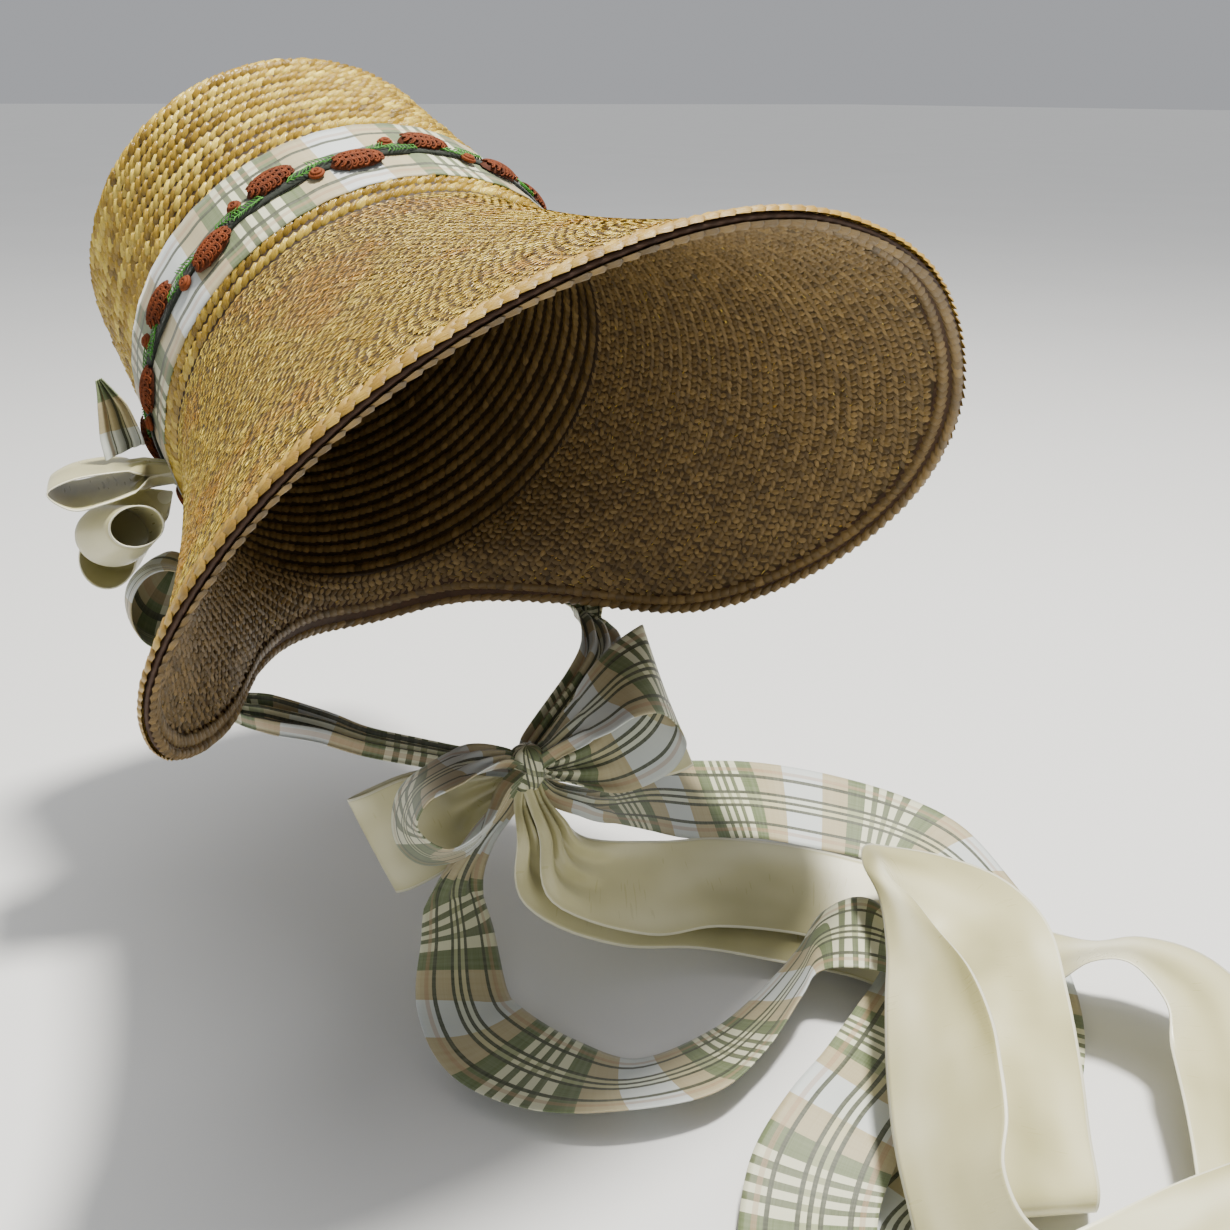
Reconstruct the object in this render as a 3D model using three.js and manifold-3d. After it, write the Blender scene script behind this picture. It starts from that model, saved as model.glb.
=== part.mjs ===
import * as THREE from 'three';
import { mergeVertices } from 'three/addons/utils/BufferGeometryUtils.js';
import Module from 'manifold-3d';

// Poke bonnet of plaited straw, in millimetres. The wearer faces -Y, their left is +X, and +Z is up.
// The origin is the centre of the ring where the crown meets the brim.

// Straw body
const CROWN_LEAN = 65; // degrees the crown's axis leans back from upright
const BASE_RADIUS = 82; // outside of the crown at the brim
const CORNER_RADIUS_AT = 75; // outside of the crown where its top corner starts
const CROWN_HEIGHT = 119;
const CORNER = 14; // rounding between the crown's side and its flat tip
const STRAW_WALL = 2.2;
const CROWN_ROW = 6; // one row of plait on the crown
const ROW_RELIEF = 0.5; // how far a row stands out, and its seam sinks in
const ROUND_STEPS = 32;
const GAP = 0.35; // clear space between neighbouring pieces

// Brim: its edge turns from the front (0) to the wearer's left (positive) and right (negative)
const EDGE_COLUMNS = 'angle radius drop';
const BRIM_EDGE = [
  [0, 152, 139],
  [20, 149, 138],
  [40, 145, 134],
  [60, 141, 131],
  [80, 136, 121],
  [100, 124, 105],
  [120, 111, 81],
  [140, 103, 42],
  [160, 102, 14],
  [180, 104, 6],
  [200, 102, 14],
  [220, 102, 40],
  [240, 110, 81],
  [260, 126, 111],
  [280, 138, 126],
  [300, 142, 132],
  [320, 145, 135],
  [340, 149, 138],
];
const BRIM_FLARE = 5; // how far the brim bows in towards the head half-way out
const BRIM_ROUND_STEPS = 54;
const BRIM_OUT_STEPS = 11;
const BRIM_RELIEF = 0.25;
const EDGE_PLAIT_WIDTH = 9;
const EDGE_PLAIT_THICK = 4.4;
const EDGE_GROOVE = 0.9; // the dark seam between the upper and the under row of the edge

// Band and its embroidered trim
const BAND_FROM = 9;
const RIBBON_WIDTH = 40;
const RIBBON_THICK = 1;
const TRIM_MIDDLE = 27; // up the crown
const TRIM_WIDTH = 6;
const TRIM_THICK = 1.2;
const CONE_COUNT = 19;
const CONE_LENGTH = 18;
const CONE_WIDTH = 10;
const CONE_RISE = 3;
const ROSETTE_RADIUS = 3;
const ROSETTE_RISE = 2;
const MOTIF_SWAY = 4; // cones and rosettes lie this far to either side of the trim's middle
const FIRST_CONE = 5.5; // degrees from the front of the head
const FIRST_ROSETTE = 15;

// Colours of the straw and of the cloth
const STRAW = { color: 0xc8a55a, roughness: 0.6, metalness: 0 };
const STRAW_EDGE = { color: 0xb98f45, roughness: 0.6, metalness: 0 };
const PLAID = { color: 0xb8baa4, roughness: 0.7, metalness: 0 };
const SATIN = { color: 0xcdcbb4, roughness: 0.35, metalness: 0 };
const VELVET = { color: 0x14190f, roughness: 0.9, metalness: 0 };

// Side bow: it sits on the band at the wearer's right. Its own x runs across the view of it,
// its y from the front of the bow to the back, and its z up.
const SIDE_BOW_AT = new THREE.Vector3(-82, 25, -30);
const SIDE_BOW_TURN = -15;
// A ribbon's station: the middle of the ribbon, the direction across it in tenths, and its width.
const STATION = 'x y z across_x across_y across_z width';
const UPPER_SATIN_LOOP = [
  [-2.5, 3, 13, 0, 10, 0, 12],
  [-6, 2, 14, 0, 10, -1, 26],
  [-15, 2, 15, 0, 10, -1, 38],
  [-27, 1, 14, 0, 10, -1, 38],
  [-35, 0, 10, 0, 10, -1, 37],
  [-28, 0, 6, 0, 10, 0, 38],
  [-18, 1, 7, 0, 10, 0, 38],
  [-7, 2, 9, 0, 10, 0, 30],
  [-2.5, 3, 9, 0, 10, 0, 12],
];
// A loop seen from its end is a band between a near and a far rim.
const RIM = 'x y z radius_x radius_z';
const TUBE_SATIN_LOOP = [[-9, -20, -1, 8, 6.5], [-22, 13, -15, 12, 12]];
const LOWER_SATIN_LOOP = [[-20, 15, -22, 9, 11], [-14, 38, -22, 8, 9]];
const PLAID_LOOP = [[-3, -13, -34, 11, 14], [-4, 12, -37, 11, 12]];
const LEAF = 'x y z across_x across_y across_z width fold';
const LEAF_TAIL = [
  [-15, 8, 43, 10, -2, 4, 2, 0.5],
  [-13, 7, 38, 10, -2, 4, 6, 3],
  [-11.5, 6, 33, 10, -2, 4, 10, 6],
  [-10.5, 5, 26, 10, -2, 4, 13, 9],
  [-9.5, 4, 21, 10, -2, 4, 14, 10],
  [-9.2, 3.7, 18.5, 10, -2, 4, 14, 10],
];

// Ties: from under the band, down the outside of the brim, and round its back edge to the knot
const TIE_ON_BRIM = 'angle share lift width';
const TIE_OUTSIDE = [
  [-123, 0.06, 3, 18],
  [-126, 0.25, 2.5, 20],
  [-130, 0.5, 2.5, 20],
  [-134, 0.8, 4.5, 19],
];
const TIE_TO_KNOT = [
  [-75, -5, -95, -3, -9, -1, 18],
  [-68, -23, -94, -5, -8, -3, 18],
  [-57, -41, -95, -6, -8, -1, 16],
  [-45, -48, -101, -5, -9, -1, 14],
  [-30, -56, -106, -5, -9, -1, 13],
  [-17, -63, -110, -5, -9, -1, 12],
  [-9, -69, -111, -5, -9, -1, 11],
];

// Knot under the chin
const KNOT_AT = new THREE.Vector3(0, -78, -112);
const KNOT_HEIGHT = 17;
const KNOT_RADIUS = 6;
const KNOT_STEPS = 14;

// Chin bow
const PLAID_LOOP_RIGHT = [
  [-9, -78, -106, -5, -9, 1, 12],
  [-25, -84, -100, -4, -9, 1, 28],
  [-37, -85, -101, -3, -9, 2, 34],
  [-43, -78, -109, -2, -9, 3, 36],
  [-46, -76, -119, -2, -9, 4, 38],
  [-44, -79, -127, -1, -9, 5, 38],
  [-38, -84, -131, -1, -8, 6, 38],
  [-29, -91, -126, -2, -7, 7, 34],
  [-20, -87, -121, -3, -7, 7, 24],
  [-12, -84, -114, -4, -6, 7, 12],
];
const PLAID_LOOP_LEFT = [
  [9, -80, -106, -3, -9, 0, 12],
  [15, -85, -97, -4, -9, -1, 26],
  [22, -90, -88, -4, -9, -2, 36],
  [32, -90, -83, -4, -9, -3, 38],
  [45, -88, -83, -3, -8, -5, 38],
  [54, -83, -91, 0, -6, -8, 38],
  [55, -81, -102, 3, -4, -8, 38],
  [48, -79, -112, 3, -5, -8, 36],
  [32, -76, -119, 2, -5, -8, 28],
  [12, -75, -118, 3, -6, -8, 11],
];
const SATIN_LOOP_RIGHT = [
  [0, -62, -126, 2, -5, -8, 12],
  [-6, -49, -136, 2, -5, -8, 28],
  [-17, -40, -144, 2, -5, -8, 38],
  [-30, -34, -149, 2, -5, -8, 38],
  [-39, -34, -151, 2, -5, -8, 38],
  [-35, -41, -147, 2, -5, -8, 38],
  [-23, -48, -140, 2, -5, -8, 36],
  [-10, -54, -134, 2, -5, -8, 26],
  [-2, -65, -124, 2, -5, -8, 12],
];
const SATIN_LOOP_LEFT = [
  [17, -67, -121, 1, -5, -9, 8],
  [34, -66, -122, 1, -5, -9, 22],
  [49, -67, -118, 1, -5, -9, 36],
  [61, -73, -115, 1, -5, -9, 36],
  [64, -79, -111, 1, -5, -9, 36],
  [56, -79, -112, 1, -5, -9, 36],
  [46, -73, -115, 1, -5, -9, 34],
  [31, -70, -119, 1, -5, -9, 20],
  [17, -70, -121, 1, -5, -9, 8],
];

// Free ends, from the knot to where they end in front
const PLAID_TAIL_NEAR = [
  [-7, -75, -126, 9, 3, -3, 10],
  [-15, -68, -142, 9, 4, -3, 18],
  [-24, -68, -157, 9, 3, -3, 28],
  [-26, -73, -173, 9, 3, -4, 40],
  [-32, -86, -189, 9, 1, -3, 40],
  [-35, -107, -191, 9, 4, 0, 40],
  [-26, -131, -192, 9, 6, -1, 40],
  [-8, -149, -193, 7, 7, -3, 40],
  [20, -157, -192, 6, 8, -2, 40],
  [46, -152, -191, 6, 8, -2, 40],
  [70, -145, -185, 6, 7, -2, 38],
  [83, -141, -180, 7, 7, 0, 36],
  [92, -148, -175, 7, 7, 1, 38],
  [100, -157, -176, 6, 8, 1, 38],
  [105, -168, -182, 3, 10, 1, 38],
  [98, -177, -189, 0, 10, 1, 38],
  [81, -187, -190, -3, 9, 1, 40],
  [56, -198, -187, -5, 8, 2, 38],
  [34, -206, -185, -5, 8, 1, 38],
  [16, -213, -189, -6, 8, 0, 40],
  [3, -222, -193, -8, 6, -1, 40],
  [-8, -233, -195, -9, 4, -1, 40],
];
const PLAID_TAIL_FAR = [
  [10, -78, -124, -6, -7, -2, 9],
  [20, -79, -130, -5, -9, 0, 17],
  [36, -73, -139, -6, -8, 0, 27],
  [68, -59, -153, -6, -8, -2, 40],
  [96, -55, -165, -6, -7, -4, 40],
  [128, -56, -175, -6, -7, -4, 40],
  [153, -70, -182, -7, -6, -4, 40],
  [174, -90, -188, -8, -5, -3, 40],
  [181, -114, -191, -9, -4, -2, 40],
  [177, -141, -196, -9, -3, 0, 40],
  [163, -168, -198.5, -9, -2, 0, 40],
  [141, -192, -198.5, -9, 1, 0, 40],
  [112, -212, -198.5, -8, 5, 0, 40],
  [80, -226, -198.5, -6, 8, 0, 40],
  [48, -232, -198.5, -6, 8, 0, 40],
  [24, -236, -198.5, -8, 6, 0, 40],
  [8, -248, -198.5, -9, 4, 0, 40],
];
const SATIN_TAIL_FAR = [
  [1, -84, -123, -9, -3, -2, 7],
  [3, -90, -131, -9, -3, -3, 12],
  [8, -95, -147, -8, -3, -5, 27],
  [42, -97, -165, -6, -6, -5, 38],
  [72, -98, -173, -6, -7, -4, 40],
  [102, -111, -181, -6, -7, -4, 40],
  [122, -132, -186, -7, -6, -4, 40],
  [133, -155, -188, -8, -6, -2, 40],
  [137, -177, -186, -8, -5, -1, 40],
  [141, -195, -179, -8, -6, 1, 40],
  [147, -208, -171, -8, -5, 4, 40],
  [155, -220, -167, -8, -4, 3, 40],
  [158, -238, -170, -10, -2, 1, 40],
  [147, -258, -175, -9, 3, 0, 40],
  [127, -278, -180, -9, 4, 1, 40],
  [108, -294, -186, -9, 4, 2, 40],
  [90, -306, -191, -9, 4, 2, 40],
];
const SATIN_TAIL_NEAR = [
  [-3, -80, -124, -9, -2, -2, 6],
  [-3, -86, -133, -9, -2, -3, 12],
  [4, -86, -150, -8, -2, -6, 30],
  [34, -91, -170, -7, -6, -4, 40],
  [67, -100, -183, -8, -6, -2, 40],
  [92, -117, -191, -8, -6, -1, 40],
  [112, -138, -196, -8, -5, 0, 40],
  [118, -162, -196, -9, -3, 0, 40],
  [112, -190, -196, -10, 0, 0, 40],
  [97, -216, -196, -10, 3, 0, 40],
  [76, -240, -195, -9, 4, 0, 40],
  [60, -254, -194, -9, 4, 1, 40],
  [50, -262, -189, -9, 4, 1, 40],
  [50, -262, -181, -9, 4, 1, 40],
  [61, -250, -176, -9, 4, 1, 40],
  [76, -235, -172, -9, 4, 0, 40],
  [98, -213, -170, -9, 4, -1, 40],
  [122, -188, -170, -9, 3, -2, 40],
  [130, -168, -169, -9, 0, -2, 40],
  [125, -153, -166, -8, -4, -1, 40],
  [115, -145, -161, -6, -7, 0, 38],
  [107, -146, -155, -4, -8, 1, 38],
  [98, -157, -152, -3, -9, 2, 38],
  [87, -176, -150, -3, -9, 3, 40],
  [72, -198, -149, -1, -9, 4, 40],
  [57, -216, -151, 1, -9, 4, 40],
  [43, -231, -155, 2, -8, 5, 40],
  [31, -245, -161, 3, -7, 6, 38],
  [22, -256, -168, 3, -6, 7, 34],
  [18, -267, -175, 4, -6, 7, 34],
  [22, -277, -180, 6, -6, 5, 36],
  [34, -284, -182, 8, -6, 3, 38],
  [52, -290, -182, 7, -7, -1, 40],
  [70, -293, -181, 7, -6, -2, 40],
  [93, -297, -180, 7, -6, -2, 40],
  [114, -303, -178, 7, -7, -1, 40],
];

// Gives the rows of a table their column names.
function named(columns, table) {
  const keys = columns.split(' ');
  return table.map((row) => Object.fromEntries(keys.map((key, i) => [key, row[i]])));
}

// Value at place t of a smooth curve through equally spaced values.
function smooth(values, t, closed) {
  const n = values.length;
  const at = (i) => (closed ? values[((i % n) + n) % n] : values[Math.min(Math.max(i, 0), n - 1)]);
  const i = closed ? Math.floor(t) : Math.min(Math.floor(t), n - 2);
  const f = t - i;
  const [a, b, c, d] = [at(i - 1), at(i), at(i + 1), at(i + 2)];
  return b + 0.5 * f * (c - a + f * (2 * a - 5 * b + 4 * c - d + f * (3 * (b - c) + d - a)));
}

// A surface from rings of points: each ring is closed, and the rings are joined in order.
// The two faces of a thin wall are split along the same diagonal, so that a twist never crosses them.
function skin(rings, closed) {
  const size = rings[0].length;
  const index = [];
  const last = closed ? rings.length : rings.length - 1;
  for (let r = 0; r < last; r += 1) {
    const near = r * size;
    const far = ((r + 1) % rings.length) * size;
    for (let i = 0; i < size; i += 1) {
      const j = (i + 1) % size;
      if (i < size / 2) index.push(near + i, near + j, far + i, near + j, far + j, far + i);
      else index.push(near + i, near + j, far + j, near + i, far + j, far + i);
    }
  }
  if (!closed) {
    for (let i = 1; i < size - 1; i += 1) {
      const end = (rings.length - 1) * size;
      index.push(0, i + 1, i, end, end + i, end + i + 1);
    }
  }
  const geometry = new THREE.BufferGeometry();
  geometry.setAttribute('position', new THREE.Float32BufferAttribute(rings.flat().flatMap((p) => p.toArray()), 3));
  geometry.setIndex(index);
  return geometry;
}

function piece(name, geometry, look) {
  geometry.computeVertexNormals();
  const mesh = new THREE.Mesh(geometry, new THREE.MeshStandardMaterial({ ...look, flatShading: true }));
  mesh.name = name;
  return mesh;
}

// Hat coordinates: the crown's axis is z, and the front of the head is at -y.
function aroundHat(degrees, radius, height) {
  const turn = THREE.MathUtils.degToRad(degrees);
  return new THREE.Vector3(radius * Math.sin(turn), -radius * Math.cos(turn), height);
}

function sideRadius(height) {
  return BASE_RADIUS + ((CORNER_RADIUS_AT - BASE_RADIUS) * height) / (CROWN_HEIGHT - CORNER);
}

// Side rows as ridges with seams between them, then the rounded corner and the rows of the flat tip.
function crownProfile() {
  const outer = [];
  const cornerFrom = CROWN_HEIGHT - CORNER;
  for (let h = 0; h < BAND_FROM; h += CROWN_ROW / 2) {
    outer.push([sideRadius(h) + (outer.length % 2 ? ROW_RELIEF : -ROW_RELIEF), h]);
  }
  outer.push([sideRadius(BAND_FROM), BAND_FROM + 1]);
  const bandTo = BAND_FROM + RIBBON_WIDTH;
  outer.push([sideRadius(bandTo), bandTo]);
  for (let h = bandTo + CROWN_ROW / 2; h < cornerFrom; h += CROWN_ROW) {
    outer.push([sideRadius(h) + ROW_RELIEF, h]);
    outer.push([sideRadius(h + CROWN_ROW / 2) - ROW_RELIEF, h + CROWN_ROW / 2]);
  }
  const tipRadius = CORNER_RADIUS_AT - CORNER;
  for (let i = 1; i <= 4; i += 1) {
    const turn = (Math.PI / 2) * (i / 4);
    outer.push([tipRadius + CORNER * Math.cos(turn), cornerFrom + CORNER * Math.sin(turn)]);
  }
  let ridge = -1;
  for (let r = tipRadius - CROWN_ROW; r > CROWN_ROW; r -= CROWN_ROW) {
    outer.push([r, CROWN_HEIGHT + ridge * ROW_RELIEF * 0.6]);
    ridge = -ridge;
  }
  outer.push([0, CROWN_HEIGHT]);
  const inner = [[0, CROWN_HEIGHT - STRAW_WALL]];
  for (let i = 3; i >= 0; i -= 1) {
    const turn = (Math.PI / 2) * (i / 3);
    const radius = CORNER - STRAW_WALL;
    inner.push([tipRadius + radius * Math.cos(turn), cornerFrom + radius * Math.sin(turn)]);
  }
  inner.push([BASE_RADIUS - STRAW_WALL, 0]);
  return [...inner, ...outer].map(([r, h]) => new THREE.Vector2(r, h));
}

function turned(profile, steps) {
  return new THREE.LatheGeometry(profile, steps).rotateX(Math.PI / 2);
}

// Edge of the brim, at the given angle from the front.
function brimEdge(degrees) {
  const table = named(EDGE_COLUMNS, BRIM_EDGE);
  const t = (((degrees % 360) + 360) % 360) / 20;
  return {
    radius: smooth(table.map((row) => row.radius), t, true),
    drop: smooth(table.map((row) => row.drop), t, true),
  };
}

// Point on the brim: share 0 is the crown's base, share 1 the edge; lift is outwards from the straw.
function onBrim(degrees, share, lift) {
  const edge = brimEdge(degrees);
  const bow = BRIM_FLARE * 4 * share * (1 - share);
  const radius = BASE_RADIUS + (edge.radius - BASE_RADIUS) * share - bow;
  const place = (r, s) => aroundHat(degrees, r, -edge.drop * s);
  const slopeOut = edge.radius - BASE_RADIUS - BRIM_FLARE * 4 * (1 - 2 * share);
  const length = Math.hypot(slopeOut, edge.drop);
  return place(radius, share).add(aroundHat(degrees, (lift * edge.drop) / length, (lift * slopeOut) / length));
}

function brimGeometry() {
  const rings = [];
  for (let a = 0; a < BRIM_ROUND_STEPS; a += 1) {
    const degrees = (360 * a) / BRIM_ROUND_STEPS;
    const edge = brimEdge(degrees);
    const reach = Math.hypot(edge.radius - BASE_RADIUS, edge.drop);
    const last = 1 - (EDGE_PLAIT_WIDTH + GAP) / Math.max(reach, 2 * EDGE_PLAIT_WIDTH);
    const out = [];
    const back = [];
    for (let i = 0; i <= BRIM_OUT_STEPS; i += 1) {
      const share = (last * i) / BRIM_OUT_STEPS;
      const ridge = i % 2 ? BRIM_RELIEF : -BRIM_RELIEF;
      out.push(onBrim(degrees, share, ridge));
      if (i % 2 || i === 0) back.unshift(onBrim(degrees, share, -STRAW_WALL));
    }
    rings.push([...out, ...back].map((p) => new THREE.Vector3(p.x, p.y, Math.min(p.z, -GAP))));
  }
  return skin(rings, true);
}

// The last two rows of plait, one over and one under, with a dark seam along the edge itself.
function edgePlaitGeometry() {
  const rings = [];
  const steps = BRIM_ROUND_STEPS;
  for (let a = 0; a < steps; a += 1) {
    const degrees = (360 * a) / steps;
    const edge = brimEdge(degrees);
    const reach = Math.hypot(edge.radius - BASE_RADIUS, edge.drop);
    const from = 1 - EDGE_PLAIT_WIDTH / Math.max(reach, 2 * EDGE_PLAIT_WIDTH);
    const over = (EDGE_PLAIT_THICK - STRAW_WALL) / 2;
    const under = -STRAW_WALL - over;
    const middle = -STRAW_WALL / 2;
    rings.push([
      onBrim(degrees, from, over - 0.8),
      onBrim(degrees, 1, over),
      onBrim(degrees, 1 - (EDGE_GROOVE / EDGE_PLAIT_WIDTH) * (1 - from), middle),
      onBrim(degrees, 1, under),
      onBrim(degrees, from, under + 0.8),
    ]);
  }
  return skin(rings, true);
}

function ringOf(from, width, lift, thick) {
  const low = sideRadius(from) + lift;
  const high = sideRadius(from + width) + lift;
  const profile = [
    [low, from],
    [low + thick, from],
    [high + thick, from + width],
    [high, from + width],
    [low, from],
  ];
  return turned(profile.map(([r, h]) => new THREE.Vector2(r, h)), ROUND_STEPS);
}

function asSolid(wasm, geometry) {
  const bare = new THREE.BufferGeometry();
  bare.setAttribute('position', geometry.getAttribute('position'));
  bare.setIndex(geometry.getIndex());
  const merged = mergeVertices(bare, 1e-3);
  const mesh = {
    numProp: 3,
    vertProperties: merged.getAttribute('position').array,
    triVerts: new Uint32Array(merged.getIndex().array),
  };
  return new wasm.Manifold(new wasm.Mesh(mesh));
}

function asGeometry(solid) {
  const mesh = solid.getMesh();
  const geometry = new THREE.BufferGeometry();
  geometry.setAttribute('position', new THREE.BufferAttribute(new Float32Array(mesh.vertProperties), 3));
  geometry.setIndex(new THREE.BufferAttribute(new Uint32Array(mesh.triVerts), 1));
  return geometry;
}

// A raised motif on the trim: a low dome, long or round, that follows the band.
function motif(degrees, height, length, width, rise, sides) {
  const base = sideRadius(height) + GAP * 2 + RIBBON_THICK + GAP;
  const dome = new THREE.SphereGeometry(0.5, sides, 3);
  dome.scale(length, rise * 2, width);
  dome.rotateX(Math.PI / 2);
  const place = aroundHat(degrees, base + TRIM_THICK * 0.6, height);
  const turn = THREE.MathUtils.degToRad(degrees);
  return dome.applyMatrix4(new THREE.Matrix4().makeRotationZ(turn)).translate(place.x, place.y, place.z);
}

// Velvet strip with pine cones worked along it, and small rosettes between them.
function trimGeometry(wasm) {
  const lift = GAP * 2 + RIBBON_THICK + GAP;
  let solid = asSolid(wasm, ringOf(TRIM_MIDDLE - TRIM_WIDTH / 2, TRIM_WIDTH, lift, TRIM_THICK));
  const step = 360 / CONE_COUNT;
  const half = (CONE_COUNT - 1) / 2;
  for (let i = -half; i <= half; i += 1) {
    const sway = i % 2 ? -MOTIF_SWAY : MOTIF_SWAY;
    const cone = motif(FIRST_CONE + i * step, TRIM_MIDDLE + sway, CONE_LENGTH, CONE_WIDTH, CONE_RISE, 6);
    const size = ROSETTE_RADIUS * 2;
    const rosette = motif(FIRST_ROSETTE + i * step, TRIM_MIDDLE - sway, size, size, ROSETTE_RISE, 5);
    solid = solid.add(asSolid(wasm, cone)).add(asSolid(wasm, rosette));
  }
  const inside = [[0, 0], [sideRadius(0) + lift, 0], [sideRadius(CROWN_HEIGHT) + lift, CROWN_HEIGHT], [0, CROWN_HEIGHT]];
  const core = turned(inside.map(([r, h]) => new THREE.Vector2(r, h)), ROUND_STEPS);
  return asGeometry(solid.subtract(asSolid(wasm, core)));
}

// A flat ribbon through its stations; fold sinks its middle line.
function ribbon(stations, { perStation = 2, thick = RIBBON_THICK } = {}) {
  const last = stations.length - 1;
  const at = (key, t) => smooth(stations.map((s) => s[key] ?? 0), t, false);
  const middle = (t) => new THREE.Vector3(at('x', t), at('y', t), at('z', t));
  const folded = stations.some((s) => s.fold);
  const rings = [];
  for (let i = 0; i <= last * perStation; i += 1) {
    const t = i / perStation;
    const along = middle(Math.min(t + 0.05, last)).sub(middle(Math.max(t - 0.05, 0))).normalize();
    const across = new THREE.Vector3(at('across_x', t), at('across_y', t), at('across_z', t)).normalize();
    const out = new THREE.Vector3().crossVectors(along, across).normalize();
    const half = at('width', t) / 2;
    const sink = at('fold', t);
    const spot = (side, up, deep) => middle(t)
      .addScaledVector(across, side * half)
      .addScaledVector(out, (up * thick) / 2 - deep);
    const ring = [spot(-1, -1, 0), spot(1, -1, 0), spot(1, 1, 0), spot(-1, 1, 0)];
    if (folded) {
      ring.splice(3, 0, spot(0, 1, sink));
      ring.splice(1, 0, spot(0, -1, sink));
    }
    rings.push(ring);
  }
  return skin(rings, false);
}

// A loop of ribbon seen from its end: a band between two oval rims.
function ovalBand([near, far], steps = 20, thick = RIBBON_THICK) {
  const rings = [];
  for (let i = 0; i < steps; i += 1) {
    const turn = (2 * Math.PI * i) / steps;
    const rim = (oval, grow) => new THREE.Vector3(
      oval.x + (oval.radius_x + grow) * Math.cos(turn),
      oval.y,
      oval.z + (oval.radius_z + grow) * Math.sin(turn),
    );
    rings.push([rim(near, thick), rim(far, thick), rim(far, 0), rim(near, 0)]);
  }
  return skin(rings, true);
}

function sideBow() {
  const bow = new THREE.Group();
  bow.position.copy(SIDE_BOW_AT);
  bow.rotation.z = THREE.MathUtils.degToRad(SIDE_BOW_TURN);
  bow.add(piece('side_bow_satin_loop_upper', ribbon(named(STATION, UPPER_SATIN_LOOP)), SATIN));
  bow.add(piece('side_bow_satin_loop_open', ovalBand(named(RIM, TUBE_SATIN_LOOP)), SATIN));
  bow.add(piece('side_bow_satin_loop_lower', ovalBand(named(RIM, LOWER_SATIN_LOOP)), SATIN));
  bow.add(piece('side_bow_plaid_loop', ovalBand(named(RIM, PLAID_LOOP)), PLAID));
  bow.add(piece('side_bow_leaf_tail', ribbon(named(LEAF, LEAF_TAIL)), PLAID));
  return bow;
}

// One tie: side is -1 for the wearer's right and 1 for their left.
function tie(side) {
  const lean = new THREE.Euler(THREE.MathUtils.degToRad(-CROWN_LEAN), 0, 0);
  const outside = named(TIE_ON_BRIM, TIE_OUTSIDE).map((row) => {
    const place = (turn) => onBrim(-side * (row.angle + turn), row.share, row.lift).applyEuler(lean);
    const across = place(4).sub(place(-4)).normalize();
    const middle = place(0);
    return {
      x: middle.x,
      y: middle.y,
      z: middle.z,
      across_x: across.x,
      across_y: across.y,
      across_z: across.z,
      width: row.width,
    };
  });
  const toKnot = named(STATION, TIE_TO_KNOT).map((row) => ({
    ...row,
    x: -side * row.x,
    across_x: (-side * row.across_x) / 10,
    across_y: row.across_y / 10,
    across_z: row.across_z / 10,
  }));
  return ribbon([...outside, ...toKnot]);
}

function knotGeometry() {
  const half = KNOT_HEIGHT / 2;
  const profile = [
    [0, -half],
    [KNOT_RADIUS * 0.7, -half],
    [KNOT_RADIUS, -half * 0.45],
    [KNOT_RADIUS, half * 0.45],
    [KNOT_RADIUS * 0.75, half],
    [0, half],
  ];
  return turned(profile.map(([r, h]) => new THREE.Vector2(r, h)), KNOT_STEPS)
    .translate(KNOT_AT.x, KNOT_AT.y, KNOT_AT.z);
}

function straw(wasm) {
  const hat = new THREE.Group();
  hat.rotation.x = THREE.MathUtils.degToRad(-CROWN_LEAN);
  hat.add(piece('crown', turned(crownProfile(), ROUND_STEPS), STRAW));
  hat.add(piece('brim', brimGeometry(), STRAW));
  hat.add(piece('brim_edge_plait', edgePlaitGeometry(), STRAW_EDGE));
  hat.add(piece('hat_band', ringOf(BAND_FROM, RIBBON_WIDTH, GAP * 2, RIBBON_THICK), PLAID));
  hat.add(piece('pine_cone_trim', trimGeometry(wasm), VELVET));
  return hat;
}

function ties() {
  const group = new THREE.Group();
  group.add(piece('chin_tie_right', tie(-1), PLAID));
  group.add(piece('chin_tie_left', tie(1), PLAID));
  group.add(piece('chin_knot', knotGeometry(), PLAID));
  group.add(piece('chin_bow_plaid_loop_right', ribbon(named(STATION, PLAID_LOOP_RIGHT)), PLAID));
  group.add(piece('chin_bow_plaid_loop_left', ribbon(named(STATION, PLAID_LOOP_LEFT)), PLAID));
  group.add(piece('chin_bow_satin_loop_right', ribbon(named(STATION, SATIN_LOOP_RIGHT)), SATIN));
  group.add(piece('chin_bow_satin_loop_left', ribbon(named(STATION, SATIN_LOOP_LEFT)), SATIN));
  group.add(piece('plaid_tail_near', ribbon(named(STATION, PLAID_TAIL_NEAR)), PLAID));
  group.add(piece('plaid_tail_far', ribbon(named(STATION, PLAID_TAIL_FAR)), PLAID));
  group.add(piece('satin_tail_far', ribbon(named(STATION, SATIN_TAIL_FAR)), SATIN));
  group.add(piece('satin_tail_near', ribbon(named(STATION, SATIN_TAIL_NEAR)), SATIN));
  return group;
}

const wasm = await Module();
wasm.setup();
const bonnet = new THREE.Group();
bonnet.name = 'poke_bonnet';
bonnet.add(straw(wasm), sideBow(), ties());

export default bonnet;
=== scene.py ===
# %% [markdown]
# # A poke bonnet of plaited straw
# A straw bonnet with a deep brim, a plaid ribbon round its crown, a velvet trim with embroidered pine
# cones, a bow at the wearer's right, and plaid and satin ribbons tied under the chin.
# The straw is built as thousands of small plaited strands laid row by row on a thin shell, because
# that is what catches the light on a real one. Every ribbon is a sheet that follows its own path.

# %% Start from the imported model
import math
import bmesh
import bpy
import numpy as np
from mathutils import Matrix, Vector


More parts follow.
